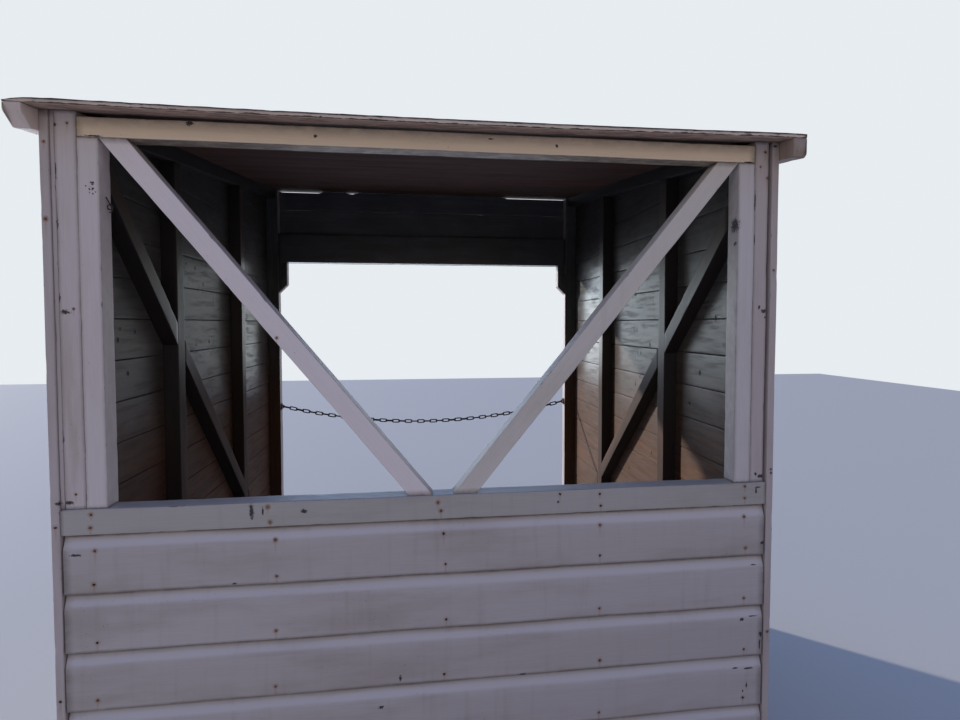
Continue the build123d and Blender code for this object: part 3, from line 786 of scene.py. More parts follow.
def nail_heads(name, nails, outward, size=0.0026, proud=0.0003, metal=rust):
    """Domed heads, each three rings of nine points round its nail, closed by a face in front.

    The first ring lies just under the surface, the second a little over it, and the third, half
    as wide, in front. A ring's points are the cosine and the sine of nine equal angles.
    """
    outward = unit(outward)
    sideways = unit(np.cross(outward, (0, 0, 1)))
    upright = np.cross(sideways, outward)
    lift = np.array([-0.5, 0.15, 1.0]) * proud
    wide = np.array([1.0, 0.95, 0.55]) * size
    angle = np.arange(9) * 2 * pi / 9
    circle = np.cos(angle)[:, None] * sideways - np.sin(angle)[:, None] * upright
    ring = wide[:, None, None] * circle + lift[:, None, None] * outward
    points = np.asarray(nails)[:, None, None, :3] + ring
    index = np.arange(points[..., 0].size).reshape(points.shape[:3])
    mesh = bpy.data.meshes.new(name)
    faces = between_rings(index) + index[:, -1].tolist() + index[:, 0, ::-1].tolist()
    mesh.from_pydata(points.reshape(-1, 3), [], faces)
    mesh.shade_smooth()
    add_piece(name, mesh, metal, ())


frame_nails = [*POST_NAILS["left"], *POST_NAILS["right"], *BRACE_NAILS["left"]]
face_nails = [*rear_nails, *SILL_NAILS, *TRIM_NAILS["left"], *TRIM_NAILS["right"]]
nail_heads("nails_rear", face_nails + frame_nails, (0, -1, 0))


# Hook and eye on the left jamb: bent steel wire, screwed into its inner side near the top. The
# hook hangs down past the eye.
def wire(points, across, radius, closed=False):
    """Round wire along a flat run of points, whose plane is square to the direction across.

    Each ring of eight points stands square to the run: radius times the cosine of an angle
    sideways in the plane, and times its sine along the direction across.
    """
    points = np.asarray(points, float)
    if closed:
        tangent = np.roll(points, -1, axis=0) - np.roll(points, 1, axis=0)
    else:
        tangent = np.gradient(points, axis=0)
    tangent = tangent / np.linalg.norm(tangent, axis=1, keepdims=True)
    sideways = np.cross(tangent, across)
    angle = np.arange(8) * 2 * pi / 8
    rings = points[:, None] + radius * (
        np.cos(angle)[None, :, None] * sideways[:, None]
        + np.sin(angle)[None, :, None] * np.asarray(across, float)
    )
    index = np.arange(rings[..., 0].size).reshape(rings.shape[:2])
    beside = np.roll(index, -1, axis=1)
    if closed:
        index, beside = (np.concatenate([i, i[:1]]) for i in (index, beside))
    quads = np.stack([index[:-1], index[1:], beside[1:], beside[:-1]], axis=-1).reshape(-1, 4)
    caps = [] if closed else [index[0].tolist(), index[-1][::-1].tolist()]
    return rings.reshape(-1, 3), quads.tolist() + caps


def forged(name, wires, material, nodes=()):
    """Wires joined in one smooth piece."""
    points, faces, count = [], [], 0
    for wire_points, wire_faces in wires:
        points.append(wire_points)
        faces += [[corner + count for corner in face] for face in wire_faces]
        count += len(wire_points)
    mesh = bpy.data.meshes.new(name)
    mesh.from_pydata(np.concatenate(points), [], faces)
    mesh.shade_smooth()
    mesh.set_sharp_from_angle(angle=radians(50))
    add_piece(name, mesh, material, nodes)


HOOK_Y, HOOK_TOP, HOOK_REACH, HOOK_DROP = -0.798, 1.812, 0.013, 0.036
EYE_Y, EYE_HEIGHT, EYE_RADIUS = -0.790, 1.790, 0.006
down = np.linspace(0.0, 1.0, 15)
hook_x = LEFT_JAMB[1] + 0.002 + HOOK_REACH * np.sin(down * pi * 0.85)
hook_z = HOOK_TOP - HOOK_DROP * down - 0.010 * np.sin(down * pi)
hook_curl = np.stack([hook_x, np.full(15, HOOK_Y), hook_z], axis=1)
round_eye = np.linspace(0.0, 2 * pi, 14, endpoint=False)
eye_x = LEFT_JAMB[1] + EYE_RADIUS + EYE_RADIUS * np.cos(round_eye)
eye_z = EYE_HEIGHT + EYE_RADIUS * np.sin(round_eye)
eye = np.stack([eye_x, np.full(14, EYE_Y), eye_z], axis=1)
old_steel = rusty("old_steel", (0.060, 0.058, 0.045), (0.120, 0.105, 0.070), 0.5)
hook_wires = [wire(hook_curl, ACROSS_Y, 0.0016), wire(eye, ACROSS_Y, 0.0014, closed=True)]
forged("jamb_hook", hook_wires, old_steel)


# Frame behind the rear boards: a plate on the ground, two corner studs and three between them,
# all bare sawn timber.
KNOT = (0.035, 0.022, 0.015)
# Black for grime at the ends of the bare timbers, and for painted shade on their shaded faces.
BLACK_DIRT_AND_SHADE = (0.012, 0.012, 0.013)


def bare(name, tint, eaves=None, roof_shade=0.0, gloss=0.28):
    """Bare weathered softwood with dark knots and rubbed edges, and old paint past the eaves.

    Grime blackens it at the ends of each timber, and painted shade blackens the faces that lie in
    deep shade; both take away the sheen that light from the sea gives it. The old paint past the
    eaves reaches a little in over the head rail, as painted light in the shaded gap there.
    """
    material, shader, start = new_finish(name)
    grain, state, mark = (start.held(layer) for layer in ("grain", "state", "mark"))
    here = start.place()
    wood, fibre, high = bare_wood(start, grain, here, tint, roof_shade)
    cloud = grain.stretched(2.0, 14.0, 14.0).noise(4.0, 0.6)
    wood = (cloud.rise(0.38, 0.70) * 0.7).blend(wood, tinted(BARE_DARK, tint))
    brown = tinted(tinted(BARE_BROWN, tint), 0.8)
    wood = (state.part(2).rise(-1.0, 1.0) * 0.35).blend(wood, brown)
    knot = mark.length() + (here.noise(2.0, 0.6, 120.0) - 0.5) * 0.006
    wood = knot.rise(0.010, 0.004).blend(wood, KNOT)
    wood = (state.part(0) * 0.25).blend(wood, tinted(tint, 0.24))
    dirt_and_painted_light = start.held("dirt_and_painted_light", out=2)
    if eaves is None:
        wood = (dirt_and_painted_light * 0.76).blend(wood, BLACK_DIRT_AND_SHADE)
    else:
        flaking = grain.stretched(14.0, 60.0, 60.0).noise(4.0, 0.65).rise(0.42, 0.56)
        # The eaves paint reaches up to 34 mm in past the rear face, which lightens the shaded gap
        # over the head rail as painted light.
        outside = here.part(1).rise(REAR_FACE + 0.034, REAR_FACE + 0.012)
        wood = (outside * (0.55 + flaking * 0.4)).blend(wood, eaves)
    saw = grain.stretched(330.0, 6.0, 6.0).noise(1.0, 0.5)
    splashed = here.part(2).rise(*SPLASHED) * 0.4
    rough = gloss + cloud * 0.22 + high * 0.3 + splashed
    set_finish(start, shader, wood, rough, fibre * 0.5 + saw * 0.25, 0.0006)
    if roof_shade:
        coat = here.part(1).rise(*SEA_LIGHT) * here.part(2).rise(1.15, 1.40) * (1.0 - high)
        set_coat(start, shader, coat * (1.0 - dirt_and_painted_light), 0.25)
    return material


# Darker near the roof as painted shade.
sawn = bare("sawn_timber", (0.31, 0.28, 0.27), roof_shade=0.70)


def frame_piece(name, node, *parts):
    """A piece of the bare frame, in place of one node."""
    built(name, parts, sawn, (node,))


STUD_BACK = BOARD_BACK + TIMBER
STUD_SPACING = 0.416
WALL_INNER = 0.854
plate = timber(rect(BOARD_BACK, STUD_BACK, 0, TIMBER), (-WALL_INNER, 0, 0), (WALL_INNER, 0, 0),
               ACROSS_Y, seed=71)
frame_piece("plate_rear", "rear_bottom_plate", plate)
for name, node, x0 in (
    ("corner_left", "corner_stud_left", -WALL_INNER),
    ("corner_right", "corner_stud_right", WALL_INNER - TIMBER),
    ("back_left", "stud_left", BRACE_MIDDLE - STUD_SPACING - TIMBER / 2),
    ("back_middle", "stud_middle", BRACE_MIDDLE - TIMBER / 2),
    ("back_right", "stud_right", BRACE_MIDDLE + STUD_SPACING - TIMBER / 2),
):
    frame_piece(f"stud_{name}", f"rear_{node}",
                standing(x0, x0 + TIMBER, BOARD_BACK, STUD_BACK, TIMBER, SILL_BOTTOM,
                         seed=int(1000 + x0 * 300)))

# Side walls: a single skin of moulded boards, painted outside and left bare inside, each nailed to
# the studs. The top boards are cut to the slope of the roof.
SIDE_COVER = 0.111
SIDE_COVE = 0.026
SIDE_FIRST = 0.080
SIDE_THICKNESS = 0.025
SIDE_REACH = 0.805
SIDE_ROWS = 21
SIDES = (("left", -1), ("right", 1))
SIDE_NAIL_HEIGHT = 0.020
SIDE_NAIL_COLUMNS = (-0.7815, -0.3905, 0.2165, 0.7815)
FRONT_FACE = 0.825
ROOF_CLEARANCE = 0.0006
TONGUE = (0.013, 0.019)
SIDE_TOP = SIDE_COVER - 0.0004
# Outside the section is moulded like the rear boards; it has a tongue on top and a groove below.
SIDE_SECTION = [
    (0, 0), *moulded(SIDE_COVER, SIDE_THICKNESS, SIDE_COVE, COVE_DEPTH, 0, 0.002)[::-1][1:10],
    (0.0092, SIDE_TOP), (TONGUE[0], SIDE_TOP), (TONGUE[0], SIDE_TOP + 0.004),
    (TONGUE[1], SIDE_TOP + 0.004), (TONGUE[1], SIDE_TOP), (0.0230, SIDE_TOP),
    (SIDE_THICKNESS, SIDE_TOP - 0.0018), (SIDE_THICKNESS, 0.0022), (0.0230, 0.0004),
    (TONGUE[1] + 0.0005, 0.0004), (TONGUE[1] + 0.0005, 0.0050),
    (TONGUE[0] - 0.0005, 0.0050), (TONGUE[0] - 0.0005, 0.0004),
]
# Distances from the rear face, and heights, of the knots and the dark strokes on the inner sides.
KNOTS_INSIDE = {
    "left": ((0.559, 1.686), (0.666, 1.711), (0.734, 1.658), (0.592, 1.717), (0.177, 1.493),
             (0.166, 1.466), (0.661, 1.433), (1.173, 1.618), (1.225, 1.536)),
    "right": ((0.174, 1.526), (0.259, 1.348), (0.484, 1.778), (0.479, 1.559), (0.756, 1.629),
              (0.793, 1.481), (0.621, 1.424), (0.709, 1.289), (0.602, 1.366), (1.240, 1.691),
              (0.298, 1.669)),
}
STROKES_INSIDE = {"left": ((0.706, 1.634), (0.849, 1.604)),
                  "right": ((0.763, 1.482), (0.600, 1.604), (0.725, 1.389))}
# Inside, the boards darken near the roof as painted shade.
side_finish = painted("side_boards_finish", WHITE, inside=(0.43, 0.42, 0.42), roof_shade=0.75,
                      sheen=True)


def roof_at(y):
    """Height of the underside of the roof at a distance y."""
    return ROOF_LOW + (y - REAR_FACE) * tan(PITCH)


def under_roof(points):
    """Points drawn down to the underside of the roof where they stand above it."""
    points[..., 2] = np.clip(points[..., 2], 0.0, roof_at(points[..., 1]) - ROOF_CLEARANCE)
    return points


def inner_side(points):
    """True on the inner half of a side wall, but not at the front ends of its boards."""
    middle = WALL_INNER + 0.5 * SIDE_THICKNESS
    return (np.abs(points[..., 0]) < middle) & (points[..., 1] < SIDE_REACH - 0.001)


for side, turn in SIDES:
    inner, outer = turn * WALL_INNER, turn * WALL_OUTER
    boards, side_nails = [], []
    knots = [(inner, REAR_FACE + y, z, 0.9, 1.3) for y, z in KNOTS_INSIDE[side]]
    knots += [(inner, REAR_FACE + y + stroke * 0.010, z + 0.003 * (stroke % 2), 0.35, 2.2)
              for y, z in STROKES_INSIDE[side] for stroke in range(-2, 3)]
    knot_dice = np.random.default_rng(7 + turn)
    nail_dice = np.random.default_rng(300 + turn)
    for row in range(SIDE_ROWS):
        foot = SIDE_FIRST + (row - 1) * SIDE_COVER
        beside_hatch = foot + SIDE_COVER / 2 >= SILL_BOTTOM
        rear = FRAME_BACK if beside_hatch else -SIDE_REACH
        rear = max(rear, REAR_FACE + (foot + 0.012 - ROOF_LOW) / tan(PITCH))
        if rear > SIDE_REACH - 0.1:
            continue
        start_y, end_y = (rear, SIDE_REACH) if turn > 0 else (SIDE_REACH, rear)
        board = timber(SIDE_SECTION, (outer, start_y, foot), (outer, end_y, foot), (-turn, 0, 0),
                       radius=0.0012, step=0.026, run_step=0.042, end_wear=0.25,
                       seed=100 + row + 50 * turn, grimy=joint_dirt_shade_and_cove_highlight(SIDE_COVER, SIDE_COVE),
                       place=under_roof)
        boards.append(bared(board, inner_side))
        for column in SIDE_NAIL_COLUMNS[1:] if beside_hatch else SIDE_NAIL_COLUMNS:
            y, z = (column, max(foot, 0.0) + SIDE_NAIL_HEIGHT) + nail_dice.uniform(-0.004, 0.004, 2)
            if z < roof_at(y) - 0.03:
                side_nails.append((outer, y, z, 1, 1))
        for _ in range(2):
            where = knot_dice.uniform((rear + 0.03, foot + 0.02), (SIDE_REACH - 0.03, foot + 0.09))
            wide = knot_dice.uniform(0.5, 1.3)
            knots.append((inner, *where, wide, knot_dice.uniform(0.7, 1.6) * wide))
    built(f"boards_{side}", boards, side_finish, nodes=(f"{side}_wall_boards",), nails=side_nails,
          marks=knots)
    nail_heads(f"nails_{side}", side_nails, (turn, 0, 0))


# Frame of each side wall: bottom plate, two studs and a top plate under the roof, with a brace in
# three lengths between them. Bare sawn timber, darker near the roof, with painted shade that
# blackens the studs' rear faces, the brace's underside and the top plates.
STUD_INNER = WALL_INNER - TIMBER
POST_BACK = 0.758
POST_FRONT = 0.805
REAR_STUD, FRONT_STUD = REAR_FACE + 0.411, REAR_FACE + 1.018
PLATE_CUT = ((0, REAR_FACE, ROOF_LOW - TIMBER / cos(PITCH)), ROOF_NORMAL)
TOP_START = np.array((0, FRAME_BACK, roof_at(FRAME_BACK)))
TOP_END = np.array((0, POST_BACK, roof_at(POST_BACK)))
BRACE_LINES = {"left": (0.132, 0.163), "right": (0.204, 0.234)}
BRACE_BAYS = ((FRAME_BACK, REAR_STUD), (REAR_STUD + TIMBER, FRONT_STUD),
              (FRONT_STUD + TIMBER, POST_BACK))


def brace_length(x0, x1, line, bay, seed):
    """One length of a side wall's brace, which falls in a straight line over all three bays.

    The line starts a distance under the roof at the rear, and ends at a height at the front.
    """
    high = TOP_START[2] - line[0]
    fall = (high - line[1]) / (POST_BACK - FRAME_BACK)
    start, end = ((0, y, high - (y - FRAME_BACK) * fall) for y in bay)
    cuts = tuple(((0, y, 0), ACROSS_Y) for y in bay)
    return timber(rect(x0, x1, -TIMBER / 2, TIMBER / 2), start, end, ACROSS_X, cuts=cuts,
                  seed=seed, grimy=lambda x, under: np.where(under > TIMBER / 2 - 0.001, 1.0, 0.0))


for side, turn in SIDES:
    x0, x1 = sorted((turn * STUD_INNER, turn * WALL_INNER))
    frame_piece(f"plate_low_{side}", f"{side}_bottom_plate",
                timber(rect(0, TIMBER, x0, x1), (0, STUD_BACK, 0), (0, POST_BACK, 0), ACROSS_Z,
                       seed=81 + turn))
    for name, y0 in (("rear", REAR_STUD), ("front", FRONT_STUD)):
        stud = standing(x0, x1, y0, y0 + TIMBER, TIMBER, ROOF_LOW, cuts=(None, PLATE_CUT),
                        grimy=lambda x, y: (0.925 + 0.075 * turn) * (y < y0 + 0.001),
                        seed=int(85 + turn + 900 * (y0 + 1)))
        frame_piece(f"stud_{side}_{name}", f"{side}_stud_{name}", stud)
    frame_piece(f"plate_top_{side}", f"{side}_top_plate",
                timber(rect(x0, x1, 0.0, TIMBER), TOP_START, TOP_END, ACROSS_X,
                       cuts=((TOP_START, ACROSS_Y), (TOP_END, ACROSS_Y)), seed=91 + turn,
                       grimy=lambda x, under: np.full(x.shape, 0.95)))
    lengths = [brace_length(x0, x1, BRACE_LINES[side], bay, 95 + turn + 5 * number)
               for number, bay in enumerate(BRACE_BAYS)]
    frame_piece(f"brace_{side}", f"{side}_wall_brace", *lengths)

# Front: two posts with a beam between them, a corbel under each end of the beam, and three boards
# over it, with daylight over the top one. The faces that look into the shelter are bare.
POST_INNER = 0.794
CLEAR_HEIGHT = 1.841
BEAM_HEIGHT = 0.150
CORBEL_REACH = 0.044
CORBEL_NOSE, CORBEL_FOOT = CLEAR_HEIGHT - 0.121, CLEAR_HEIGHT - 0.165
TRIM_WIDTH = 0.051
TRIM_NAIL_X = 0.902
TRIM_NAIL_HEIGHTS = (0.15, 0.62, 1.10, 1.58, 2.05)


def inward_face(points):
    """True on the faces of the front's timbers that look into the shelter."""
    return points[..., 1] < POST_BACK + 0.001


trim_nails = []
for side, turn in SIDES:
    x0, x1 = sorted((turn * POST_INNER, turn * WALL_INNER))
    post = standing(x0, x1, POST_BACK, POST_FRONT, 0, ROOF_LOW, radius=0.002,
                    cuts=(None, ROOF_CUT), seed=111 + turn)
    built(f"post_front_{side}", [bared(post, inward_face)], post_paint,
          nodes=(f"front_post_{side}",))
    edge, nose = turn * POST_INNER, turn * (POST_INNER - CORBEL_REACH)
    corners = [(CLEAR_HEIGHT, edge), (CLEAR_HEIGHT, nose), (CORBEL_NOSE, nose), (CORBEL_FOOT, edge)]
    corbel = timber(corners, (0, POST_BACK, 0), (0, POST_FRONT, 0), ACROSS_Z, radius=0.002,
                    step=0.01, end_wear=0.1, seed=115 + turn)
    built(f"corbel_{side}", [bared(corbel, inward_face)], post_paint,
          nodes=(f"front_corbel_{side}",))
    trim = standing(turn * WALL_OUTER, turn * HALF_WIDTH, FRONT_FACE - TRIM_WIDTH, FRONT_FACE,
                    0, ROOF_LOW, radius=0.002, cuts=(None, ROOF_CUT), seed=118 + turn)
    nails = on_face(FRONT_FACE, [(turn * TRIM_NAIL_X, z) for z in TRIM_NAIL_HEIGHTS])
    built(f"front_trim_{side}", [trim], post_paint, nodes=(f"front_corner_trim_{side}",),
          nails=nails)
    trim_nails += nails
beam = timber(rect(POST_BACK, POST_FRONT, CLEAR_HEIGHT, CLEAR_HEIGHT + BEAM_HEIGHT),
              (-POST_INNER, 0, 0), (POST_INNER, 0, 0), ACROSS_Y, radius=0.002, seed=121)
# The beam darkens a little near the roof as painted shade.
beam_wood = bare("beam_timber", (0.38, 0.46, 0.60), roof_shade=0.25)
built("beam_front", [beam], beam_wood, ("front_beam",))

FRONT_ROWS = 3
FRONT_NAIL_HEIGHT = 0.022
FRONT_NAIL_COLUMNS = (-0.825, -0.42, 0.0, 0.42, 0.825)
FRONT_TOP = BOARD_COVER - 0.0004
FRONT_SECTION = [
    (0, 0), *moulded(BOARD_COVER, BOARD_THICKNESS, COVE_HEIGHT, COVE_DEPTH, 0.0)[::-1][1:10],
    (0.0093, FRONT_TOP), (BOARD_THICKNESS, FRONT_TOP), (BOARD_THICKNESS, 0.0004),
]
SLITS = ((-0.800, -0.565, 0.0084), (-0.440, -0.378, 0.0082), (0.440, 0.812, 0.0086))
SLIT_END = 0.030


def under_roof_with_slits(points):
    """Points drawn down to the roof, and a slit's height lower where daylight shows.

    Towards each of its ends a slit closes as the root of a sine.
    """
    ceiling = roof_at(POST_FRONT) - ROOF_CLEARANCE
    for start, end, height in SLITS:
        inside = np.minimum(points[..., 0] - start, end - points[..., 0])
        ceiling = ceiling - height * np.sin(np.clip(inside / SLIT_END, 0.0, 1.0) * pi / 2) ** 0.5
    points[..., 2] = np.minimum(points[..., 2], ceiling)
    return points


front_boards, front_nails = [], []
for row in range(FRONT_ROWS):
    foot = CLEAR_HEIGHT + row * BOARD_COVER
    board = timber(FRONT_SECTION, (WALL_OUTER, FRONT_FACE, foot), (-WALL_OUTER, FRONT_FACE, foot),
                   (0, -1, 0), step=0.012, seed=130 + row, place=under_roof_with_slits,
                   grimy=joint_dirt_shade_and_cove_highlight(BOARD_COVER, COVE_HEIGHT))
    front_boards.append(bared(board, lambda p: p[..., 1] < FRONT_FACE - 0.5 * BOARD_THICKNESS))
    front_nails += on_face(FRONT_FACE, [(x, foot + FRONT_NAIL_HEIGHT) for x in FRONT_NAIL_COLUMNS])
# Inside, the front boards darken near the roof as painted shade.
front_finish = painted("front_boards_finish", WHITE, inside=(0.60, 0.66, 0.78), roof_shade=0.30,
                       sheen=True)
built("boards_front", front_boards, front_finish, nodes=("front_boards",), nails=front_nails)
nail_heads("nails_front", front_nails + trim_nails, ACROSS_Y)

# Roof boards: thin rough boards laid across from wall to wall, brown underneath, which sag a
# little between the side walls. A lath closes their rear and front edges.
DECK = 0.010
DECK_COVER = 0.119
DECK_HALF = 0.9625
SAG, SAG_HALF = 0.005, 0.85
CORNER_START, CORNER_WIDTH, CORNER_DEPTH, CORNER_LOSS = -0.918, 0.0445, 0.05, 0.66
OVERHANG = 0.055
ROOF_DEPTH = 1.705
SLOPE_RUN = (0, cos(PITCH), sin(PITCH))
REAR_EDGE = -OVERHANG / cos(PITCH)
FRONT_EDGE = ROOF_DEPTH / cos(PITCH)
LATH = 0.012
BOARD_GAP = 0.0025


def sagged(points):
    """Points let down between the walls: a parabola across, fading out towards the front.

    The rear left corner is worn thin: there each point keeps less of its height over the
    underside, down to a third at the very corner.
    """
    across = np.clip(1.0 - (points[..., 0] / SAG_HALF) ** 2, 0.0, 1.0)
    towards = np.clip((FRONT_FACE - points[..., 1]) / (FRONT_FACE - REAR_FACE), 0.0, 1.0)
    over = points[..., 2] - ROOF_LOW - (points[..., 1] - REAR_FACE) * tan(PITCH)
    corner = np.clip((CORNER_START - points[..., 0]) / CORNER_WIDTH, 0.0, 1.0)
    corner *= np.clip(1.0 - (points[..., 1] - REAR_FACE + OVERHANG) / CORNER_DEPTH, 0.0, 1.0)
    points[..., 2] -= SAG * across * towards + CORNER_LOSS * over * corner
    return points


def on_roof(outline, **look):
    """Timber or felt from end to end of the roof; its outline is up the slope and over it."""
    return timber(outline, (-DECK_HALF, REAR_FACE, ROOF_LOW), (DECK_HALF, REAR_FACE, ROOF_LOW),
                  SLOPE_RUN, hollow=0.0, **look)


def over_edge(s, over):
    """Darker along the upper arris of a lath."""
    return np.clip((over - DECK + 0.004) / 0.003, 0.0, 0.9)


roof_wood = bare("roof_boards_underside", (0.38, 0.17, 0.11), (0.60, 0.42, 0.33), gloss=0.66)
deck_start, deck_end = REAR_EDGE + LATH, FRONT_EDGE - LATH
deck_boards = []
while deck_start + len(deck_boards) * DECK_COVER < deck_end - 0.01:
    s0 = deck_start + len(deck_boards) * DECK_COVER
    s1 = min(s0 + DECK_COVER - BOARD_GAP, deck_end - 0.002)
    lean = sin(PITCH) * (DECK - 0.0006) if s0 < 0 else 0.0
    deck_boards.append(on_roof(rect(s0 + lean, s1, 0.0, DECK - 0.0006), step=0.03, radius=0.0008,
                               seed=150 + len(deck_boards), place=sagged))
built("roof_deck", deck_boards, roof_wood, ("roof_boards",))
lath_paint = painted("lath_paint", (0.92, 0.76, 0.64), dirt=0.55, chips=0.50,
                     inside=(0.62, 0.46, 0.38))
for name, s0, s1 in (("rear", REAR_EDGE + sin(PITCH) * DECK, REAR_EDGE + LATH),
                     ("front", FRONT_EDGE - LATH, FRONT_EDGE - 0.002)):
    lath = on_roof(rect(s0, s1, 0.0, DECK), step=0.012, radius=0.0015, seed=170, grimy=over_edge,
                   place=sagged)
    built(f"lath_{name}", [lath], lath_paint, nodes=(f"roof_batten_{name}",))


# Barge boards: painted timbers under the ends of the roof boards. The lower corner of each rear
# end is cut off at the right, and worn round at the left.
BARGE_HEIGHT = 0.050
BARGE_WIDTH = 0.038
CHAMFER = 0.009
WORN_ROUND = 0.032
BARGE_START = np.array((0, REAR_FACE - OVERHANG, ROOF_LOW - OVERHANG * tan(PITCH)))
BARGE_END = np.array((0, FRONT_FACE + OVERHANG, ROOF_LOW + ROOF_DEPTH * tan(PITCH)))


def trimmed(worn):
    """Draws points near the rear end back, the more the lower they lie on the board."""
    def place(points):
        under = roof_at(points[..., 1]) - points[..., 2]
        reach = np.clip((under - BARGE_HEIGHT / cos(PITCH) + worn) / worn, 0.0, 1.0)
        near = np.clip(1.0 - (points[..., 1] - BARGE_START[1]) / 0.06, 0.0, 1.0)
        back = worn * reach * near
        points[..., 1] += back
        points[..., 2] += back * tan(PITCH)
        points[..., 1] = np.minimum(points[..., 1], BARGE_END[1])
        return points
    return place


left_barge_paint = painted("barge_paint_left", (0.93, 0.80, 0.74), dirt=0.12, chips=0.82,
                           aged=(0.7, 0.62, 0.55))
right_barge_paint = painted("barge_paint_right", (0.47, 0.375, 0.31), dirt=0.60)
for side, x0, worn, paint in (("left", -DECK_HALF, WORN_ROUND, left_barge_paint),
                              ("right", HALF_WIDTH, CHAMFER, right_barge_paint)):
    barge = timber(rect(x0, x0 + BARGE_WIDTH, 0.0, BARGE_HEIGHT), BARGE_START, BARGE_END,
                   ACROSS_X, radius=0.003, step=0.008, hollow=0.0, end_wear=0.0, seed=181,
                   cuts=((BARGE_START, ACROSS_Y), (BARGE_END, ACROSS_Y)), place=trimmed(worn))
    built(f"barge_{side}", [barge], paint, nodes=(f"barge_board_{side}",))

# Roofing felt: two strips of mineral felt, the upper lapped over the lower, nailed along the
# edges and the lap with flat-headed nails. The rear edge is ragged.
LAP_EDGE_Y = 0.048
felt_finish, felt_shader, felt_start = new_finish("mineral_felt")
felt_here = felt_start.place()
grit = felt_here.noise(2.0, 0.8, 520.0)
bleach = felt_here.stretched(1.0, 2.5, 2.5).noise(5.0, 0.62, 1.6)
lichen = felt_here.noise(4.0, 0.7, 11.0).rise(0.60, 0.66) * grit.rise(0.4, 0.6)
streak = felt_here.stretched(14.0, 1.1, 1.1).noise(4.0, 0.65)
lap_shade = (felt_here.part(1) - LAP_EDGE_Y).math("ABSOLUTE").rise(0.022, 0.004)
tarred = felt_here.part(1).rise(REAR_FACE - 0.046, REAR_FACE - 0.052)
felt_colour = grit.rise(0.35, 0.65).blend((0.060, 0.055, 0.056), (0.235, 0.215, 0.205))
for mask, colour in (
    (bleach.rise(0.42, 0.70) * 0.5, (0.255, 0.245, 0.225)),
    (lichen * 0.6, (0.30, 0.31, 0.22)),
    (streak.rise(0.50, 0.72) * 0.40, (0.27, 0.255, 0.235)),
    (streak.rise(0.46, 0.30) * 0.45, (0.040, 0.038, 0.040)),
    (lap_shade * (0.35 + streak * 0.5), (0.035, 0.032, 0.032)),
    (tarred * 0.9, (0.030, 0.024, 0.020)),
):
    felt_colour = mask.blend(felt_colour, colour)
set_finish(felt_start, felt_shader, felt_colour, 0.86 + grit * 0.10, grit + bleach * 0.5, 0.0010)


def felted(points):
    """Felt let down with the roof boards, rippled upwards, with a ragged rear edge.

    The ripples are the product of two sines, each of both x and y. The edge is drawn in by three
    sines of x, which grow towards the left.
    """
    x, y = points[..., 0].copy(), points[..., 1].copy()
    points = sagged(points)
    edge = np.clip(1.0 - (y - REAR_FACE + OVERHANG) / 0.02, 0.0, 1.0)
    ragged = np.sin(x * 61.0) + np.sin(x * 143.0 + 1.3) + np.sin(x * 389.0) * 0.6 + 2.6
    ragged = ragged * (0.00025 + 0.00045 * np.clip((0.2 - x) / 0.7, 0.0, 1.0))
    points[..., 1] += ragged * edge
    fade = np.clip((FRONT_FACE - y) / 0.3, 0.0, 1.0) * np.clip((y - REAR_FACE) / 0.2, 0.0, 1.0)
    ripple = (np.sin(x * 9.0 + y * 3.0) * np.sin(y * 7.0 + x * 2.0) + 1.0) * 0.0008
    points[..., 2] += ripple * fade
    return points


FELT_LOW, FELT_TOP, FELT_LAPPED = DECK + 0.0001, DECK + 0.0016, DECK + 0.0030
LAP_START = 0.880
LAP_END = 0.955
FELT_END = FRONT_EDGE - 0.0022
lower = rect(REAR_EDGE + 0.0019, LAP_END, FELT_LOW, DECK + 0.0015)
upper = [(LAP_START, FELT_TOP), (LAP_END + 0.001, FELT_TOP), (LAP_END + 0.008, FELT_LOW),
         (FELT_END, FELT_LOW), (FELT_END, FELT_TOP), (LAP_END + 0.009, FELT_TOP),
         (LAP_END, FELT_LAPPED), (LAP_START, FELT_LAPPED)]
felt_strips = [on_roof(outline, radius=0.0004, seed=190, place=felted)
               for outline in (lower, upper)]
built("felt", felt_strips, felt_finish, ("roof_felt",))
clout_rows = [(x, s, over) for x in np.linspace(-0.93, 0.93, 15)
              for s, over in ((REAR_EDGE + 0.024, 0.0015), (LAP_START + 0.018, 0.0030),
                              (FRONT_EDGE - 0.026, 0.0016))]
clout_rows += [(x, s, 0.0015) for x in (-0.94, 0.94) for s in np.linspace(0.10, 1.60, 11)
               if abs(s - LAP_START) > 0.09]
clouts = np.array([(x, REAR_FACE + s * cos(PITCH) - (DECK + over) * sin(PITCH),
                    ROOF_LOW + s * sin(PITCH) + (DECK + over) * cos(PITCH))
                   for x, s, over in clout_rows])
nail_heads("felt_nails", felted(clouts), ROOF_NORMAL, 0.0055, 0.0007, old_steel)

# Chain: forty-five oval links of rusted wire, each turned a quarter against the next, along the
# catenary that hangs between the two staples. The end links hang straight in the staples.
CHAIN_WIRE = 0.006
LINK_WIDTH = 0.021
LINKS = 45
CHAIN_HEIGHT = 1.056
CHAIN_SAG = 0.098
STAPLE_REACH = 0.018
CHAIN_Y = (POST_BACK + POST_FRONT) / 2
CHAIN_PLAY = 0.0003
link_round = (LINK_WIDTH - CHAIN_WIRE) / 2
half_span = POST_INNER - STAPLE_REACH + CHAIN_WIRE + CHAIN_PLAY
curve_size = half_span**2 / (2 * CHAIN_SAG) + CHAIN_SAG / 6
half_length = curve_size * sinh(half_span / curve_size)
link_pitch = 2 * half_length / LINKS
link_straight = link_pitch + CHAIN_PLAY + CHAIN_WIRE - 2 * link_round
turn_angle = np.linspace(-pi / 2, pi / 2, 8)
arc = link_round * np.stack([np.cos(turn_angle), np.sin(turn_angle)], axis=1)
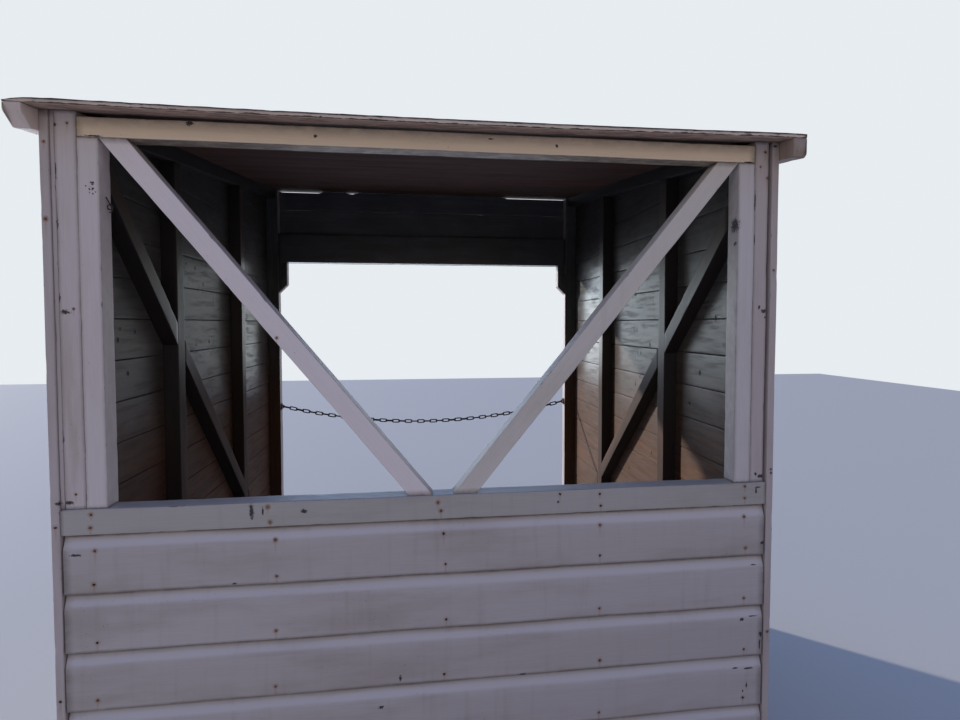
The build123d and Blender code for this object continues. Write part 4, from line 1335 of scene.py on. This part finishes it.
oval = np.concatenate([arc + (link_straight / 2, 0), -arc - (link_straight / 2, 0)])
SWING = 0.12


def on_catenary(along):
    """Point of the chain at a length along it from its middle, and the direction there.

    Its x is the curve's size times the inverse hyperbolic sine of the length over that size, and
    it hangs over the lowest point by the size times the hyperbolic cosine of x over it, less one.
    """
    x = curve_size * asinh(along / curve_size)
    z = CHAIN_HEIGHT - CHAIN_SAG + curve_size * (cosh(x / curve_size) - 1)
    return np.array((x, CHAIN_Y, z)), unit((1, 0, along / curve_size))


links = []
link_dice = np.random.default_rng(5)
aside = np.array(ACROSS_Y, float)
for number in range(LINKS):
    centre, run = on_catenary((number - (LINKS - 1) / 2) * link_pitch)
    swing = link_dice.uniform(-SWING, SWING) if 0 < number < LINKS - 1 else 0.0
    upward = np.cross(run, aside)
    flat = cos(swing) * aside + sin(swing) * upward
    tall = cos(swing) * upward - sin(swing) * aside
    width = flat if number % 2 == 0 else tall
    path = centre + oval[:, :1] * run + oval[:, 1:] * width
    links.append(wire(path, np.cross(run, width), CHAIN_WIRE / 2, closed=True))
chain_rust = rusty("chain_rust", (0.022, 0.018, 0.017), (0.120, 0.055, 0.028), 0.45)
forged("chain", links, chain_rust, ("front_chain",))

# Staples: a small plate and a bent loop of wire on the inner face of each front post, which hold
# the end links of the chain.
PLATE_HALF = 0.017
PLATE_THICKNESS = 0.0025
loop_angle = np.linspace(-pi / 2, pi / 2, 9)
loop_middle = STAPLE_REACH - CHAIN_WIRE / 2 - link_round
loop_reach = np.concatenate([[0.0], loop_middle + link_round * np.cos(loop_angle), [0.0]])
loop_height = np.concatenate([[-link_round], link_round * np.sin(loop_angle), [link_round]])
for side, turn in SIDES:
    loop = np.stack([turn * (POST_INNER - loop_reach), np.full(11, CHAIN_Y),
                     CHAIN_HEIGHT + loop_height], axis=1)
    x0 = turn * POST_INNER - (turn > 0) * PLATE_THICKNESS
    x1 = turn * POST_INNER + (turn < 0) * PLATE_THICKNESS
    plate = timber(rect(CHAIN_Y - PLATE_HALF, CHAIN_Y + PLATE_HALF, CHAIN_HEIGHT - PLATE_HALF,
                        CHAIN_HEIGHT + PLATE_HALF), (x0, 0, 0), (x1, 0, 0), ACROSS_Y,
                   radius=0.0006, step=0.006, hollow=0.0)
    built(f"staple_plate_{side}", [plate], rust, (f"chain_staple_{side}",))
    forged(f"staple_loop_{side}", [wire(loop, ACROSS_Y, CHAIN_WIRE / 2)], rust)

# Floor and light: a plain pale floor, a soft sky and one soft lamp from beyond the open front, at
# the height and side that the sun patches on the right wall give.
FLOOR_HALF = 12
floor_corners = [(x, y, 0) for x, y in rect(-FLOOR_HALF, FLOOR_HALF, -FLOOR_HALF, FLOOR_HALF)]
floor_mesh = bpy.data.meshes.new("floor")
floor_mesh.from_pydata(floor_corners, [], [(0, 1, 2, 3)])
floor = bpy.data.objects.new("floor", floor_mesh)
bpy.context.scene.collection.objects.link(floor)
floor_finish, floor_shader, _ = new_finish("floor")
floor_shader.inputs["Base Color"].default_value = (0.44, 0.425, 0.405, 1.0)
floor_shader.inputs["Roughness"].default_value = 0.9
floor_mesh.materials.append(floor_finish)

SUN_TURN = radians(49)
SUN_HEIGHT = radians(20.7)
SUNWARD = (-0.42, 0.90, 0.10)
lamp = bpy.data.lights.new("sun", "SUN")
lamp.energy = 3.3
lamp.color = (1.0, 0.93, 0.84)
lamp.angle = radians(1.2)
sun = bpy.data.objects.new("sun", lamp)
to_sun = Vector((-sin(SUN_TURN) * cos(SUN_HEIGHT), cos(SUN_TURN) * cos(SUN_HEIGHT),
                 sin(SUN_HEIGHT)))
sun.rotation_euler = to_sun.to_track_quat("Z", "Y").to_euler()
bpy.context.scene.collection.objects.link(sun)

world = bpy.data.worlds.new("studio")
world.use_nodes = True
sky = Socket(world.node_tree, world.node_tree.nodes["Background"].outputs[0])
seen = sky.node("LightPath", None, None, out=0)
toward = sky.node("TexCoord", None, None, out=0)
up_high = toward.part(2)
sky_tint = up_high.rise(0.15, 0.80).blend((1.0, 0.85, 0.64), (0.32, 0.47, 1.0))
sea_tint = up_high.rise(0.06, 0.36).blend((0.84, 0.94, 1.0), (0.28, 0.52, 1.0))
sunward = toward.node("VectorMath", {"operation": "DOT_PRODUCT"}, {0: toward, 1: SUNWARD}, out=1)
sky_tint = sunward.rise(0.0, 0.9).blend(sky_tint, sea_tint)
sky_power = 0.33 + sunward.rise(0.60, 1.0) * 2.05 + up_high.rise(0.05, 0.5) * 0.24
sky_power = sky_power + up_high.rise(0.40, 0.80) * toward.part(1).rise(0.3, -0.5) * 0.20
backdrop = sky.node("Background", None, {"Color": (0.80, 0.84, 0.88, 1.0), "Strength": 1.0})
dome = sky.node("Background", None, {"Color": sky_tint, "Strength": sky_power})
both = sky.node("MixShader", None, {0: seen, 1: dome, 2: backdrop})
world_out = world.node_tree.nodes["World Output"]
world.node_tree.links.new(both.socket, world_out.inputs["Surface"])
bpy.context.scene.world = world
bpy.context.scene.view_settings.view_transform = "Standard"
